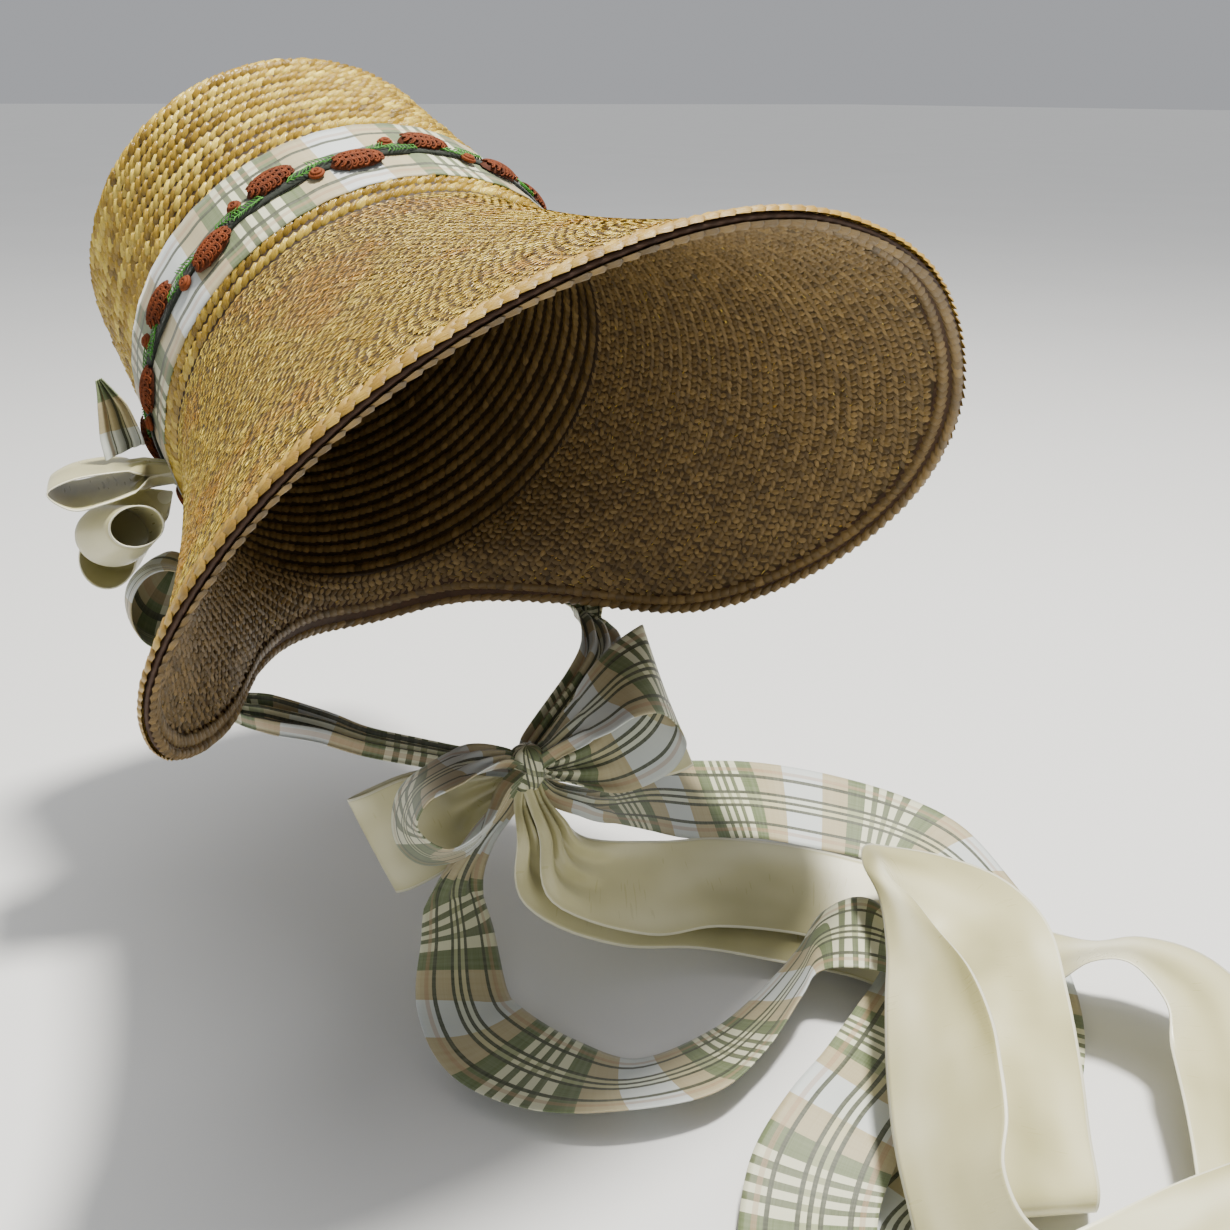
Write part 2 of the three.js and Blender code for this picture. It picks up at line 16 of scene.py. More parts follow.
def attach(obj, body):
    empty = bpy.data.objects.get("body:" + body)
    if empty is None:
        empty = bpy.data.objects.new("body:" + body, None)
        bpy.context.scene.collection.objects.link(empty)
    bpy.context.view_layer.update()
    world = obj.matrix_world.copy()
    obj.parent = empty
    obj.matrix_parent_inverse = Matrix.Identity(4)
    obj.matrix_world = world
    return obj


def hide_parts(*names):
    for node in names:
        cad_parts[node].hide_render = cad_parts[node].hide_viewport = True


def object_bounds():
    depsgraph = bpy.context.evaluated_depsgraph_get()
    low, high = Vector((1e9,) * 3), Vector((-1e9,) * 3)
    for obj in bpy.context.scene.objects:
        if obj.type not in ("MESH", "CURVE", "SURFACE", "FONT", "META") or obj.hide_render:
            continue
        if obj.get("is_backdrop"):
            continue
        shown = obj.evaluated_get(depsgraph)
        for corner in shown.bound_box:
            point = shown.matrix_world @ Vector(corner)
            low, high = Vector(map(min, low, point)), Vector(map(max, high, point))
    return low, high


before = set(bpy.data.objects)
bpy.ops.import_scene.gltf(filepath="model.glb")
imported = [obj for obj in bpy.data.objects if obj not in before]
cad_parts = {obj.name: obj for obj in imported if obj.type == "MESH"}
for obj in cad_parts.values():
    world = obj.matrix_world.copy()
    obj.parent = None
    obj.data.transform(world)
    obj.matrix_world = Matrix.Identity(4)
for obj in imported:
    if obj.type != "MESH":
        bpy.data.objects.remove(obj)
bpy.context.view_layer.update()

MM = 0.001
FULL_TURN = 2 * math.pi
chance = np.random.default_rng(7)

# %% [markdown]
# ## Measured shape
# The same sizes as the solids have. Lengths are in millimetres here and become metres where points
# are made. The wearer faces -Y, their left is +X. The hat has its own coordinates, with the crown's
# axis as z, and leans back by 65 degrees.

# %% Sizes of the straw body
CROWN_LEAN = math.radians(65)
BASE_RADIUS, CORNER_RADIUS_AT = 82, 75
CROWN_HEIGHT, CORNER = 119, 14
STRAW_WALL = 2.2
BRIM_FLARE = 5
EDGE_PLAIT_WIDTH, EDGE_PLAIT_THICK = 9, 4.4
BAND_FROM, RIBBON_WIDTH = 9, 40
TRIM_MIDDLE, TRIM_WIDTH = 27, 6
BAND_RADIUS = 81.5
KNOT_AT, KNOT_HEIGHT, KNOT_RADIUS = (0, -78, -112), 17, 6


def rows(columns, text):
    """A table of numbers with named columns."""
    table = np.array([[float(x) for x in line.split()] for line in text.strip().splitlines()])
    assert table.shape[1] == len(columns.split())
    return table


EDGE_STEP = 20
BRIM_EDGE = rows("angle radius drop", """
    0 152 139
    20 149 138
    40 145 134
    60 141 131
    80 136 121
    100 124 105
    120 111 81
    140 103 42
    160 102 14
    180 104 6
    200 102 14
    220 102 40
    240 110 81
    260 126 111
    280 138 126
    300 142 132
    320 145 135
    340 149 138
""")

# %% Tables of the ribbons: middle of the ribbon, direction across it in tenths, and its width
ROUTE = "x y z across_x across_y across_z width"
OVAL_RIM = "x y z radius_x radius_z"
UPPER_SATIN_LOOP = rows(ROUTE, """
    -2.5 3 13 0 10 0 12
    -6 2 14 0 10 -1 26
    -15 2 15 0 10 -1 38
    -27 1 14 0 10 -1 38
    -35 0 10 0 10 -1 37
    -28 0 6 0 10 0 38
    -18 1 7 0 10 0 38
    -7 2 9 0 10 0 30
    -2.5 3 9 0 10 0 12
""")
TUBE_SATIN_LOOP = rows(OVAL_RIM, """
    -9 -20 -1 8 6.5
    -22 13 -15 12 12
""")
LOWER_SATIN_LOOP = rows(OVAL_RIM, """
    -20 15 -22 9 11
    -14 38 -22 8 9
""")
PLAID_LOOP = rows(OVAL_RIM, """
    -3 -13 -34 11 14
    -4 12 -37 11 12
""")
LEAF_TAIL = rows(ROUTE + " fold", """
    -15 8 43 10 -2 4 2 0.5
    -13 7 38 10 -2 4 6 3
    -11.5 6 33 10 -2 4 10 6
    -10.5 5 26 10 -2 4 13 9
    -9.5 4 21 10 -2 4 14 10
    -9.2 3.7 18.5 10 -2 4 14 10
""")
TIE_OUTSIDE = rows("angle share lift width", """
    -123 0.06 3 18
    -126 0.25 2.5 20
    -130 0.5 2.5 20
    -134 0.8 4.5 19
""")
TIE_TO_KNOT = rows(ROUTE, """
    -75 -5 -95 -3 -9 -1 18
    -68 -23 -94 -5 -8 -3 18
    -57 -41 -95 -6 -8 -1 16
    -45 -48 -101 -5 -9 -1 14
    -30 -56 -106 -5 -9 -1 13
    -17 -63 -110 -5 -9 -1 12
    -9 -69 -111 -5 -9 -1 11
""")
PLAID_LOOP_RIGHT = rows(ROUTE, """
    -9 -78 -106 -5 -9 1 12
    -25 -84 -100 -4 -9 1 28
    -37 -85 -101 -3 -9 2 34
    -43 -78 -109 -2 -9 3 36
    -46 -76 -119 -2 -9 4 38
    -44 -79 -127 -1 -9 5 38
    -38 -84 -131 -1 -8 6 38
    -29 -91 -126 -2 -7 7 34
    -20 -87 -121 -3 -7 7 24
    -12 -84 -114 -4 -6 7 12
""")
PLAID_LOOP_LEFT = rows(ROUTE, """
    9 -80 -106 -3 -9 0 12
    15 -85 -97 -4 -9 -1 26
    22 -90 -88 -4 -9 -2 36
    32 -90 -83 -4 -9 -3 38
    45 -88 -83 -3 -8 -5 38
    54 -83 -91 0 -6 -8 38
    55 -81 -102 3 -4 -8 38
    48 -79 -112 3 -5 -8 36
    32 -76 -119 2 -5 -8 28
    12 -75 -118 3 -6 -8 11
""")
SATIN_LOOP_RIGHT = rows(ROUTE, """
    0 -62 -126 2 -5 -8 12
    -6 -49 -136 2 -5 -8 28
    -17 -40 -144 2 -5 -8 38
    -30 -34 -149 2 -5 -8 38
    -39 -34 -151 2 -5 -8 38
    -35 -41 -147 2 -5 -8 38
    -23 -48 -140 2 -5 -8 36
    -10 -54 -134 2 -5 -8 26
    -2 -65 -124 2 -5 -8 12
""")
SATIN_LOOP_LEFT = rows(ROUTE, """
    17 -67 -121 1 -5 -9 8
    34 -66 -122 1 -5 -9 22
    49 -67 -118 1 -5 -9 36
    61 -73 -115 1 -5 -9 36
    64 -79 -111 1 -5 -9 36
    56 -79 -112 1 -5 -9 36
    46 -73 -115 1 -5 -9 34
    31 -70 -119 1 -5 -9 20
    17 -70 -121 1 -5 -9 8
""")
PLAID_TAIL_NEAR = rows(ROUTE, """
    -7 -75 -126 9 3 -3 10
    -15 -68 -142 9 4 -3 18
    -24 -68 -157 9 3 -3 28
    -26 -73 -173 9 3 -4 40
    -32 -86 -189 9 1 -3 40
    -35 -107 -191 9 4 0 40
    -26 -131 -192 9 6 -1 40
    -8 -149 -193 7 7 -3 40
    20 -157 -192 6 8 -2 40
    46 -152 -191 6 8 -2 40
    70 -145 -185 6 7 -2 38
    83 -141 -180 7 7 0 36
    92 -148 -175 7 7 1 38
    100 -157 -176 6 8 1 38
    105 -168 -182 3 10 1 38
    98 -177 -189 0 10 1 38
    81 -187 -190 -3 9 1 40
    56 -198 -187 -5 8 2 38
    34 -206 -185 -5 8 1 38
    16 -213 -189 -6 8 0 40
    3 -222 -193 -8 6 -1 40
    -8 -233 -195 -9 4 -1 40
""")
PLAID_TAIL_FAR = rows(ROUTE, """
    10 -78 -124 -6 -7 -2 9
    20 -79 -130 -5 -9 0 17
    36 -73 -139 -6 -8 0 27
    68 -59 -153 -6 -8 -2 40
    96 -55 -165 -6 -7 -4 40
    128 -56 -175 -6 -7 -4 40
    153 -70 -182 -7 -6 -4 40
    174 -90 -188 -8 -5 -3 40
    181 -114 -191 -9 -4 -2 40
    177 -141 -196 -9 -3 0 40
    163 -168 -198.5 -9 -2 0 40
    141 -192 -198.5 -9 1 0 40
    112 -212 -198.5 -8 5 0 40
    80 -226 -198.5 -6 8 0 40
    48 -232 -198.5 -6 8 0 40
    24 -236 -198.5 -8 6 0 40
    8 -248 -198.5 -9 4 0 40
""")
SATIN_TAIL_FAR = rows(ROUTE, """
    1 -84 -123 -9 -3 -2 7
    3 -90 -131 -9 -3 -3 12
    8 -95 -147 -8 -3 -5 27
    42 -97 -165 -6 -6 -5 38
    72 -98 -173 -6 -7 -4 40
    102 -111 -181 -6 -7 -4 40
    122 -132 -186 -7 -6 -4 40
    133 -155 -188 -8 -6 -2 40
    137 -177 -186 -8 -5 -1 40
    141 -195 -179 -8 -6 1 40
    147 -208 -171 -8 -5 4 40
    155 -220 -167 -8 -4 3 40
    158 -238 -170 -10 -2 1 40
    147 -258 -175 -9 3 0 40
    127 -278 -180 -9 4 1 40
    108 -294 -186 -9 4 2 40
    90 -306 -191 -9 4 2 40
""")
SATIN_TAIL_NEAR = rows(ROUTE, """
    -3 -80 -124 -9 -2 -2 6
    -3 -86 -133 -9 -2 -3 12
    4 -86 -150 -8 -2 -6 30
    34 -91 -170 -7 -6 -4 40
    67 -100 -183 -8 -6 -2 40
    92 -117 -191 -8 -6 -1 40
    112 -138 -196 -8 -5 0 40
    118 -162 -196 -9 -3 0 40
    112 -190 -196 -10 0 0 40
    97 -216 -196 -10 3 0 40
    76 -240 -195 -9 4 0 40
    60 -254 -194 -9 4 1 40
    50 -262 -189 -9 4 1 40
    50 -262 -181 -9 4 1 40
    61 -250 -176 -9 4 1 40
    76 -235 -172 -9 4 0 40
    98 -213 -170 -9 4 -1 40
    122 -188 -170 -9 3 -2 40
    130 -168 -169 -9 0 -2 40
    125 -153 -166 -8 -4 -1 40
    115 -145 -161 -6 -7 0 38
    107 -146 -155 -4 -8 1 38
    98 -157 -152 -3 -9 2 38
    87 -176 -150 -3 -9 3 40
    72 -198 -149 -1 -9 4 40
    57 -216 -151 1 -9 4 40
    43 -231 -155 2 -8 5 40
    31 -245 -161 3 -7 6 38
    22 -256 -168 3 -6 7 34
    18 -267 -175 4 -6 7 34
    22 -277 -180 6 -6 5 36
    34 -284 -182 8 -6 3 38
    52 -290 -182 7 -7 -1 40
    70 -293 -181 7 -6 -2 40
    93 -297 -180 7 -6 -2 40
    114 -303 -178 7 -7 -1 40
""")

# %% [markdown]
# ## Helpers for shapes
# A smooth curve through table rows gives every outline. Points on the crown and the brim are found
# in the hat's coordinates and then leant back. A surface is a flat grid whose points are moved to
# where the cloth or straw lies, so its grid lines stay the warp and weft of the cloth.


# %% Curves and places on the straw
def smooth(table, t, closed=False):
    """Rows of a smooth curve through equally spaced rows, at places t."""
    table, t = np.asarray(table, float), np.asarray(t, float)
    n = len(table)
    i = np.floor(t).astype(int)
    if not closed:
        i = np.clip(i, 0, n - 2)
    f = t - i
    if table.ndim > 1:
        f = f[..., None]
    at = (lambda k: table[k % n]) if closed else (lambda k: table[np.clip(k, 0, n - 1)])
    a, b, c, d = at(i - 1), at(i), at(i + 1), at(i + 2)
    return b + 0.5 * f * (c - a + f * (2 * a - 5 * b + 4 * c - d + f * (3 * (b - c) + d - a)))


def unit(v):
    """Directions at a length of one."""
    return v / np.maximum(np.linalg.norm(v, axis=-1, keepdims=True), 1e-9)


def around(degrees, radius, height):
    """Point in hat coordinates, the front of the head at 0 and the wearer's left positive."""
    turn = np.radians(degrees)
    return np.stack([radius * np.sin(turn), -radius * np.cos(turn), height + 0 * turn], -1)


def lean(points):
    """From hat coordinates in millimetres to the room, in metres."""
    x, y, z = np.moveaxis(np.asarray(points, float), -1, 0)
    c, s = math.cos(CROWN_LEAN), math.sin(CROWN_LEAN)
    return np.stack([x, y * c + z * s, -y * s + z * c], -1) * MM


def lean_way(way):
    """A direction of unit length, turned from the hat's coordinates to the room's."""
    return lean(way) / MM


def slanted(round_way, across_way, degrees):
    """A direction between the way round and the way across it."""
    turn = math.radians(degrees)
    return unit(round_way * math.cos(turn) + across_way * math.sin(turn))


def run_along(line):
    """The distance along a line of points, at each of its points."""
    steps = np.linalg.norm(np.diff(line, axis=0), axis=1)
    return np.concatenate([[0], np.cumsum(steps)])


def side_radius(h):
    """Radius of the crown's side, which narrows a little upwards."""
    return BASE_RADIUS + (CORNER_RADIUS_AT - BASE_RADIUS) * h / (CROWN_HEIGHT - CORNER)


def brim_edge(degrees):
    """Radius of the brim's edge and its drop below the crown's base."""
    edge = smooth(BRIM_EDGE[:, 1:], np.mod(degrees, 360) / EDGE_STEP, closed=True)
    return edge[..., 0], edge[..., 1]


def on_brim(degrees, share, lift=0.0):
    """Point on the brim: share 0 is the crown's base, 1 the edge; lift is outwards."""
    radius, drop = brim_edge(degrees)
    slope = radius - BASE_RADIUS - BRIM_FLARE * 4 * (1 - 2 * share)
    length = np.hypot(slope, drop)
    r = BASE_RADIUS + (radius - BASE_RADIUS) * share - BRIM_FLARE * 4 * share * (1 - share)
    return around(degrees, r + lift * drop / length, -drop * share + lift * slope / length)


# %% Pieces from grids, and small strands laid in great numbers
def finish(name, mesh, look, replaces=(), thickness=0.0):
    """Makes the mesh a named piece with its material, riding with the bonnet."""
    print(f"{name}: {len(mesh.polygons)} faces")
    mesh.polygons.foreach_set("use_smooth", [True] * len(mesh.polygons))
    mesh.materials.append(look)
    piece = bpy.data.objects.new(name, mesh)
    bpy.context.scene.collection.objects.link(piece)
    if thickness:
        wall = piece.modifiers.new("cloth thickness", "SOLIDIFY")
        wall.thickness, wall.offset = thickness * MM, 0
    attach(piece, "root")
    if replaces:
        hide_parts(*replaces)
    return piece


def surface(name, across, along, place, look, slot, replaces=(), thickness=0.0):
    """A grid whose points go where place(u, v) says; place also gives each point's UV."""
    bm = bmesh.new()
    bmesh.ops.create_grid(bm, x_segments=across, y_segments=along, size=0.5)
    bm.verts.ensure_lookup_table()
    flat = np.array([v.co[:2] for v in bm.verts]) + 0.5
    points, uv = place(flat[:, 0], flat[:, 1])
    layer = bm.loops.layers.uv.new("cloth")
    for v, point, spot in zip(bm.verts, points, uv):
        v.co = point
        for loop in v.link_loops:
            loop[layer].uv = spot
    bmesh.ops.remove_doubles(bm, verts=bm.verts, dist=0.02 * MM)
    bmesh.ops.recalc_face_normals(bm, faces=bm.faces)
    mesh = bpy.data.meshes.new(name)
    bm.to_mesh(mesh)
    bm.free()
    return finish(name, mesh, look, replaces, thickness)


def strand_form(fine):
    """One strand of the plait, a low ridge with pointed ends, one unit long, wide and high."""
    if fine:
        rings, section = (-0.22, 0.22), ((-0.5, 0), (0, 1), (0.5, 0))
    else:
        rings, section = (-0.33, 0, 0.33), ((-0.5, 0), (-0.3, 0.8), (0, 1), (0.3, 0.8), (0.5, 0))
    points = [(-0.5, 0, 0.25)]
    points += [(x, y, z) for x in rings for y, z in section]
    points.append((0.5, 0, 0.25))
    k = len(section)
    faces = [(0, 1 + j, 2 + j) for j in range(k - 1)]
    for r in range(len(rings) - 1):
        a = 1 + r * k
        for j in range(k - 1):
            faces += [(a + j, a + k + j, a + k + j + 1), (a + j, a + k + j + 1, a + j + 1)]
    last = 1 + (len(rings) - 1) * k
    faces += [(last + j, len(points) - 1, last + j + 1) for j in range(k - 1)]
    return np.array(points, float), np.array(faces)[:, ::-1]


def mesh_of(name, points, faces, tone, uv=None):
    """A mesh from arrays of points and triangles, with a tone for each point."""
    mesh = bpy.data.meshes.new(name)
    mesh.vertices.add(len(points))
    mesh.vertices.foreach_set("co", np.asarray(points, np.float32).ravel())
    mesh.loops.add(faces.size)
    mesh.loops.foreach_set("vertex_index", faces.ravel().astype(np.int32))
    mesh.polygons.add(len(faces))
    mesh.polygons.foreach_set("loop_start", np.arange(0, faces.size, 3, dtype=np.int32))
    mesh.update(calc_edges=True)
    layer = mesh.attributes.new("tone", "FLOAT", "POINT")
    layer.data.foreach_set("value", np.asarray(tone, np.float32))
    if uv is not None:
        layer = mesh.uv_layers.new(name="cloth")
        layer.data.foreach_set("uv", np.asarray(uv, np.float32)[faces.ravel()].ravel())
    mesh.validate()
    return mesh


def strands(name, spots, look, fine=True, row_round=0.0):
    """Lays one strand at each spot: place, direction along, out and up the row, size, tilt and tone.
    Where the row is a rounded rope, a strand bends down on both sides of the row's middle."""
    form, faces = strand_form(fine)
    place, along, out, up, size, tilt, tone = (np.concatenate(x) for x in zip(*spots))
    side = unit(np.cross(out, along))
    flat = along[:, None] * (form[:, 0] * size[:, :1])[..., None]
    flat = flat + side[:, None] * (form[:, 1] * size[:, 1:2])[..., None]
    sink = np.sum(flat * up[:, None], -1) ** 2 / (2 * row_round) if row_round else 0.0
    rise = form[:, 2] * size[:, 2:3] + form[:, 0] * tilt[:, None] - sink
    points = place[:, None] + (flat + out[:, None] * rise[..., None]) * MM
    n, k = len(place), len(form)
    every = (faces[None] + (np.arange(n) * k)[:, None, None]).reshape(-1, 3)
    uv = np.tile(form[:, :2], (n, 1))
    mesh = mesh_of(name, points.reshape(-1, 3), every, np.repeat(tone, k), uv)
    print(f"{name}: {n} strands")
    return finish(name, mesh, look)


# %% [markdown]
# ## Helpers for finishes
# Shader values are written as plain sums: a small class wraps a socket, so that +, -, * and the
# comparisons each add a math node. All patterns read the piece's own UV or its object coordinates.


# %% Socket maths and node helper
class Value:
    """A number that varies over a surface."""

    def __init__(self, look, socket):
        self.look, self.socket = look, socket

    def math(self, kind, other=None):
        values = {0: self} if other is None else {0: self, 1: other}
        return self.look.add("ShaderNodeMath", {"operation": kind}, values)

    def __add__(self, other):
        return self.math("ADD", other)

    def __sub__(self, other):
        return self.math("SUBTRACT", other)

    def __rsub__(self, other):
        return self * -1 + other

    def __mul__(self, other):
        return self.math("MULTIPLY", other)

    def __truediv__(self, other):
        return self.math("DIVIDE", other)

    def __gt__(self, other):
        return self.math("GREATER_THAN", other)

    def __lt__(self, other):
        return self.math("LESS_THAN", other)

    __radd__, __rmul__ = __add__, __mul__

    def near(self, centre, half):
        """1 within half of the centre, 0 elsewhere."""
        return (self - centre).math("ABSOLUTE") < half


def colour(red, green, blue):
    """A colour as seen on screen, 0 to 255, made linear by the usual curve of screens."""
    shares = [c / 255 for c in (red, green, blue)]
    linear = [c / 12.92 if c <= 0.04045 else ((c + 0.055) / 1.055) ** 2.4 for c in shares]
    return (*linear, 1.0)


class Look:
    """A material in the making."""

    def __init__(self, name, rough=0.6, **sockets):
        self.material = bpy.data.materials.new(name)
        self.material.use_nodes = True
        self.nodes = self.material.node_tree.nodes
        self.shader = self.nodes["Principled BSDF"]
        self.shader.inputs["Roughness"].default_value = rough
        for key, value in sockets.items():
            self.shader.inputs[key.replace("_", " ")].default_value = value

    def put(self, socket, value):
        if isinstance(value, Value):
            self.material.node_tree.links.new(value.socket, socket)
        else:
            socket.default_value = value

    def add(self, kind, settings=None, values=None, output=0):
        node = self.nodes.new(kind)
        for key, value in (settings or {}).items():
            setattr(node, key, value)
        for key, value in (values or {}).items():
            self.put(node.inputs[key], value)
        return Value(self, node.outputs[output])

    def object_place(self):
        return self.add("ShaderNodeTexCoord", output="Object")

    def uv(self):
        spot = self.add("ShaderNodeUVMap", {"uv_map": "cloth"})
        parts = self.nodes.new("ShaderNodeSeparateXYZ")
        self.put(parts.inputs[0], spot)
        return Value(self, parts.outputs[0]), Value(self, parts.outputs[1])

    def join(self, x, y, z=0.0):
        return self.add("ShaderNodeCombineXYZ", values={0: x, 1: y, 2: z})

    def noise(self, place, scale, detail=2.0):
        values = {"Vector": place, "Scale": scale, "Detail": detail}
        return self.add("ShaderNodeTexNoise", values=values)

    def tone(self):
        return self.add("ShaderNodeAttribute", {"attribute_name": "tone"}, output="Fac")

    def mix(self, share, a, b):
        kind = {"data_type": "RGBA"}
        return self.add("ShaderNodeMix", kind, {0: share, 6: a, 7: b}, output=2)

    def ramp(self, value, stops, kind="LINEAR"):
        out = self.add("ShaderNodeValToRGB", values={0: value})
        bar = out.socket.node.color_ramp
        bar.interpolation = kind
        while len(bar.elements) < len(stops):
            bar.elements.new(0.5)
        for element, (at, shade) in zip(bar.elements, stops):
            element.position, element.color = at, shade
        return out

    def base(self, shade):
        self.put(self.shader.inputs["Base Color"], shade)

    def rough(self, value):
        self.put(self.shader.inputs["Roughness"], value)

    def bump(self, height, depth_mm, strength=1.0):
        values = {"Height": height, "Distance": depth_mm * MM, "Strength": strength}
        self.put(self.shader.inputs["Normal"], self.add("ShaderNodeBump", values=values))


# %% [markdown]
# ## Straw
# Wheat straw is glossy, and each flattened stem has its own shade of gold, with fine lines along it.
# Painted shade darkens each stem towards its ends, where they tuck under the next one, and between the
# stems a shell coloured dark brown stands for the deep shade there.
# The brim's outside carries soft orange-brown stains, and the inside of the bonnet is painted darker,
# as painted shade, and is duller. One recipe makes all of them from three shades.


# %% Straw looks
STAIN_COLOUR, STAINS_FROM = colour(186, 112, 44), 0.54


def straw_look(name, dark, middle, light, stain=0.0, rough=0.42):
    look = Look(name, rough, Specular_IOR_Level=0.55)
    tone = look.tone()
    u, v = look.uv()
    fibre = look.noise(look.join(u * 1.5, v * 9, tone * 40), 3.0, 3.0)
    wear = look.noise(look.object_place(), 38.0, 3.0)
    brightness = tone * 0.8 + fibre * 0.35 + wear * 0.3 - 0.25
    shade = look.ramp(brightness, [(0.0, dark), (0.42, middle), (0.85, light)])
    # Painted shade: each stem is darkened towards both its ends, where they tuck under the next stems.
    end_shade = (u * u * 4).math("POWER", 1.5)
    shade = look.mix(end_shade * 0.8, shade, dark)
    if stain:
        patch = look.noise(look.object_place(), 26.0, 4.0)
        stained = ((patch - STAINS_FROM) * 5.0).math("MAXIMUM", 0.0).math("MINIMUM", stain)
        shade = look.mix(stained, shade, STAIN_COLOUR)
    look.base(shade)
    look.rough(fibre * 0.25 + (rough - 0.12))
    look.bump(fibre, 0.35, 0.6)
    return look.material


# A shell under the strands, coloured dark brown as painted shade for the deep seams and gaps.
def shade_shell_look(name, deep, pale):
    look = Look(name, 0.75)
    grain = look.noise(look.object_place(), 420.0, 3.0)
    look.base(look.mix(grain, deep, pale))
    look.bump(grain, 0.4, 0.8)
    return look.material


crown_shades = colour(80, 58, 8), colour(164, 132, 34), colour(240, 214, 96)
brim_shades = colour(106, 76, 12), colour(182, 146, 38), colour(240, 212, 90)
# The inside straw's three shades are darkened as painted shade.
inside_painted_shades = colour(66, 50, 20), colour(110, 86, 42), colour(150, 122, 70)
edge_shades = colour(96, 68, 18), colour(160, 126, 46), colour(210, 178, 84)
straw_crown = straw_look("straw crown", *crown_shades, rough=0.24)
straw_out = straw_look("straw brim outside", *brim_shades, stain=0.34, rough=0.26)
straw_in_shaded = straw_look("straw inside", *inside_painted_shades, rough=0.45)
straw_rim = straw_look("straw edge", *edge_shades)
straw_gap_shade = shade_shell_look("straw gaps", colour(32, 20, 3), colour(62, 42, 8))
straw_gap_shade_in = shade_shell_look("straw gaps inside", colour(50, 36, 12), colour(78, 58, 22))
straw_groove_shade = shade_shell_look("straw groove", colour(40, 22, 8), colour(70, 42, 16))

# %% [markdown]
# ## Crown
# The plait is sewn in a spiral from the middle of the tip outwards, each row lapping the one before,
# and every row reads as a rope of slanting stems. A shell spun from one outline, with a ridge for
# each row, carries the strands; it is coloured dark brown as painted shade, which shows in the seams.
# The band hides a few of the rows, so no strands are laid there.

# %% Crown shell
ROW, SEAM_LAP = 5.8, 1.4
POINTS_PER_ROW, ROUND_STEPS = 6, 120
RIDGE_FOOT, RIDGE_HEIGHT, INNER_FACE = 1.4, 1.0, STRAW_WALL - 0.3
side_length = math.hypot(BASE_RADIUS - CORNER_RADIUS_AT, CROWN_HEIGHT - CORNER)
corner_length = CORNER * math.pi / 2
tip_radius = CORNER_RADIUS_AT - CORNER
SIDE_WAY_OUT = (0.998, 0.066)


def crown_line(distance, inset=0.0):
    """Radius and height on the crown's outline, by the distance up from its base, and the way out."""
    if distance < side_length:
        h = (CROWN_HEIGHT - CORNER) * distance / side_length
        r, n = side_radius(h), SIDE_WAY_OUT
    elif distance < side_length + corner_length:
        turn = (distance - side_length) / CORNER
        n = (math.cos(turn), math.sin(turn))
        r, h = tip_radius + CORNER * n[0], CROWN_HEIGHT - CORNER + CORNER * n[1]
    else:
        r, h, n = tip_radius - (distance - side_length - corner_length), CROWN_HEIGHT, (0.0, 1.0)
    return r - inset * n[0], h - inset * n[1], n


whole = side_length + corner_length + tip_radius
bm = bmesh.new()
outline = [(BASE_RADIUS - 1.0, -SEAM_LAP)]
steps = int(whole / ROW * POINTS_PER_ROW)
for k in range(steps + 1):
    d = whole * k / steps
    ridge = RIDGE_HEIGHT * abs(math.sin(math.pi * d / ROW))
    r, h, _ = crown_line(d, RIDGE_FOOT - ridge)
    outline.append((max(r, 0), h))
for k in range(steps, -1, -1):
    r, h, _ = crown_line(whole * k / steps, INNER_FACE)
    outline.append((max(r, 0), h))
outline.append((BASE_RADIUS - INNER_FACE, -SEAM_LAP))
verts = [bm.verts.new((r, 0, h)) for r, h in outline]
at_axis = steps + 1
pairs = [(verts[k], verts[(k + 1) % len(verts)]) for k in range(len(verts)) if k != at_axis]
edges = [bm.edges.new(pair) for pair in pairs]
bmesh.ops.spin(
    bm,
    geom=verts + edges,
    cent=(0, 0, 0),
    axis=(0, 0, 1),
    angle=FULL_TURN,
    steps=ROUND_STEPS,
    use_merge=True,
)
bmesh.ops.remove_doubles(bm, verts=bm.verts, dist=0.05)
bmesh.ops.recalc_face_normals(bm, faces=bm.faces)
for v in bm.verts:
    v.co = lean(v.co)
mesh = bpy.data.meshes.new("crown_shell")
bm.to_mesh(mesh)
bm.free()
finish("crown_shell", mesh, straw_gap_shade, ["crown"])


# %% Strands of the crown's rows
STITCH, UNDER_BAND = 3.1, 1.5
SMALLEST_ROW, FEWEST_STRANDS = 3, 8


def crown_rows(inside, inset, slant, size, tilt):
    """Strands for each row of the crown, one rope of slanting stems after another."""
    spots = []
    distance = ROW / 2
    while distance < whole - ROW / 2:
        r, h, n = crown_line(distance, inset)
        hidden = not inside and UNDER_BAND < h - BAND_FROM < RIBBON_WIDTH - UNDER_BAND
        if r > SMALLEST_ROW and not hidden:
            count = max(int(FULL_TURN * r / STITCH), FEWEST_STRANDS)
            place_in_row = np.arange(count) + chance.uniform(-0.12, 0.12, count)
            turn = (place_in_row + chance.uniform()) * 360 / count
            place = lean(around(turn, r, h))
            round_way = lean_way(around(turn + 90, 1.0, 0.0))
            out = lean_way(around(turn, n[0], n[1]))
            if inside:
                out = -out
            up = unit(np.cross(out, round_way))
            along = slanted(round_way, up, slant)
            sizes = chance.normal(size, (0.25, 0.15, 0.15), (count, 3))
            tone = chance.normal(0.5 + chance.uniform(-0.15, 0.15), 0.15, count)
            tilts = chance.normal(tilt, 0.2, count)
            spots.append((place, along, out, up, sizes, tilts, tone))
        distance += ROW
    return spots


outside = crown_rows(inside=False, inset=0.35, slant=27, size=(6.4, 2.4, 1.5), tilt=1.3)
strands("crown_plait", outside, straw_crown, fine=False, row_round=1.45)
inside = crown_rows(inside=True, inset=STRAW_WALL, slant=40, size=(6.6, 3.4, 0.8), tilt=0.5)
strands("crown_plait_inside", inside, straw_in_shaded, row_round=6.0)

